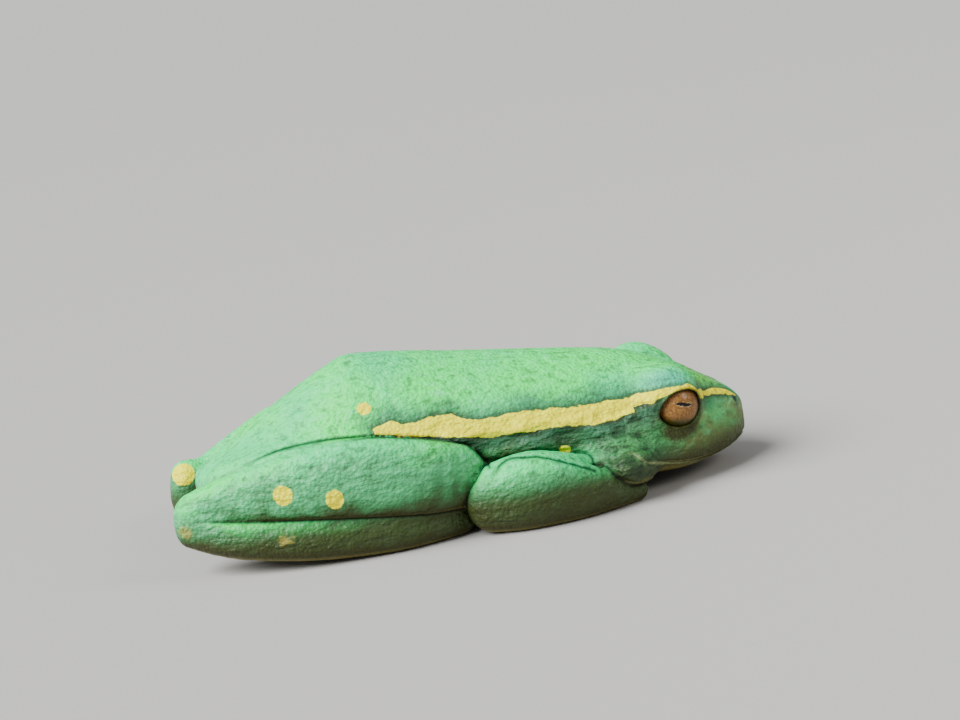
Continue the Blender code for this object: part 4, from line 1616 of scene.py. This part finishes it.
skin = skin_piece()
print("skin of", len(skin.data.polygons), "faces covers", len(SKIN_NODES), "solids")


# %% [markdown]
# ## The look of the eye
#
# The iris is a warm brown with pale flecks and dark veins, darker towards its rim. The pupil is a flat slit
# with a thin gold edge that is broken in places, partly a painted highlight. A clear coat gives the wet
# shine of the cornea.

# %% Eye material
IRIS = (0.230, 0.095, 0.014, 1)
IRIS_DARK = (0.045, 0.022, 0.010, 1)
IRIS_PALE = (0.340, 0.170, 0.045, 1)
PUPIL = (0.004, 0.004, 0.004, 1)
# The pupil's gold rim, partly a painted highlight.
RIM_GOLD_AND_HIGHLIGHT = (0.480, 0.360, 0.190, 1)
PUPIL_HALF_LENGTH = 0.50
PUPIL_HALF_HEIGHT = 0.092
PUPIL_WAVE = 0.045
EYE_BUMP_DEPTH = 0.00003


def pupil_distance(w, where):
    """How far inside the pupil's slit a point lies, in mm; the slit tapers to both ends."""
    wave = w.ragged(w.noise(where, PER_MM / 0.3, 1.0), PUPIL_WAVE)
    height = w.maths("ABSOLUTE", w.plus(w.attribute("above"), wave))
    length = w.maths("DIVIDE", w.maths("ABSOLUTE", w.attribute("ahead")), PUPIL_HALF_LENGTH)
    taper = w.maths("MAXIMUM", w.maths("SUBTRACT", 1.0, w.maths("POWER", length, 3.0)), -1.0)
    return w.maths("SUBTRACT", w.times(taper, PUPIL_HALF_HEIGHT), height)


def eye_material():
    """Iris with veins and flecks, the slit of the pupil with a gold rim that is partly a painted highlight,
    and a wet coat.
    """
    w = MaterialWiring("eye")
    where = w.place()
    veins = w.cells(where, PER_MM / 0.09, "DISTANCE_TO_EDGE")
    mottle = w.noise(where, PER_MM / 0.16, 4.0)
    flecks = w.noise(where, PER_MM / 0.11)
    slit = pupil_distance(w, where)
    rim = w.times(w.step(slit, -0.060, -0.015), w.step(slit, 0.02, -0.01))
    colour = w.over(
        w.mix(w.step(mottle, 0.35, 0.7), IRIS, IRIS_PALE),
        (w.step(veins, 0.14, 0.0, 0.0, 0.45), IRIS_DARK),
        (w.step(flecks, 0.52, 0.7, 0.0, 0.6), IRIS_DARK),
        (w.step(w.attribute("outward"), 1.12, 0.72, 0.0, 0.75), IRIS_DARK),
        (w.step(w.attribute("above"), -0.62, -1.05, 0.0, 0.95), LID_OLIVE),
        # Gold rim round the pupil, broken by the mottle: partly a painted highlight.
        (w.times(rim, w.step(mottle, 0.42, 0.62, 0.05, 0.90)), RIM_GOLD_AND_HIGHLIGHT),
        (w.step(slit, -0.012, 0.012), PUPIL),
    )
    return w.finish(
        Base_Color=colour,
        Roughness=0.35,
        Specular_IOR_Level=0.2,
        Coat_Weight=0.3,
        Coat_Roughness=0.06,
        Normal=w.bump(veins, 0.6, EYE_BUMP_DEPTH),
    )


eye_look = eye_material()
for piece in eyes:
    piece.data.materials.append(eye_look)
print("eye material with", len(eye_look.node_tree.nodes), "nodes")

# %% [markdown]
# ## Floor and light
#
# A pale floor and pale surroundings show the shape and the colours without a setting. A broad light above
# and behind the animal stands for the open sky of the picture. A weaker and warmer one in front, on the
# animal's right, keeps the face from going dark.

# %% Floor and surroundings
FLOOR_Z = -0.02
FLOOR_HALF_SIZE = 30.0
FLOOR_GREY = (0.40, 0.395, 0.38, 1)
FLOOR_ROUGHNESS = 0.9
SURROUNDINGS = (0.92, 0.96, 1.0, 1)
SURROUNDINGS_STRENGTH = 0.35


def add_floor():
    """A wide, matt floor just below the belly."""
    half = FLOOR_HALF_SIZE
    z = FLOOR_Z * MM
    corners = [(-half, -half, z), (half, -half, z), (half, half, z), (-half, half, z)]
    mesh = bpy.data.meshes.new("floor")
    mesh.from_pydata(corners, [], [(0, 1, 2, 3)])
    w = MaterialWiring("floor")
    mesh.materials.append(w.finish(Base_Color=FLOOR_GREY, Roughness=FLOOR_ROUGHNESS))
    linked("floor", mesh)


def add_world():
    """Pale surroundings that light the scene evenly from all sides."""
    world = bpy.data.worlds.new("surroundings")
    world.use_nodes = True
    background = world.node_tree.nodes["Background"]
    background.inputs["Color"].default_value = SURROUNDINGS
    background.inputs["Strength"].default_value = SURROUNDINGS_STRENGTH
    bpy.context.scene.world = world


add_floor()
add_world()
print("floor", 2 * FLOOR_HALF_SIZE, "m wide")

# %% Lights
SKY_TOWARDS = (-0.70, -0.25, 0.68)
SKY_SPREAD_DEGREES = 45
SKY_STRENGTH = 8.0
FRONT_PLACE_MM = (185, -105, 150)
FRONT_AIM_MM = (0, 0, 4)
FRONT_SIZE_MM = 110
FRONT_WATTS = 0.22
FRONT_TINT = (1.0, 0.95, 0.93)


def add_sky_light():
    """Soft light from a wide part of the sky, above and behind the animal."""
    light = bpy.data.lights.new("sky", "SUN")
    light.angle = math.radians(SKY_SPREAD_DEGREES)
    light.energy = SKY_STRENGTH
    lamp = linked("sky", light)
    lamp.rotation_euler = Vector(SKY_TOWARDS).to_track_quat("Z", "Y").to_euler()


def add_front_light():
    """A weak, warm disc in front of the animal, on its right."""
    light = bpy.data.lights.new("front", "AREA")
    light.shape = "DISK"
    light.size = FRONT_SIZE_MM * MM
    light.energy = FRONT_WATTS
    light.color = FRONT_TINT
    lamp = linked("front", light)
    lamp.location = Vector(FRONT_PLACE_MM) * MM
    aim = Vector(FRONT_AIM_MM) * MM - lamp.location
    lamp.rotation_euler = aim.to_track_quat("-Z", "Y").to_euler()


add_sky_light()
add_front_light()
print("a sky light and one in front,", FRONT_SIZE_MM, "mm across")
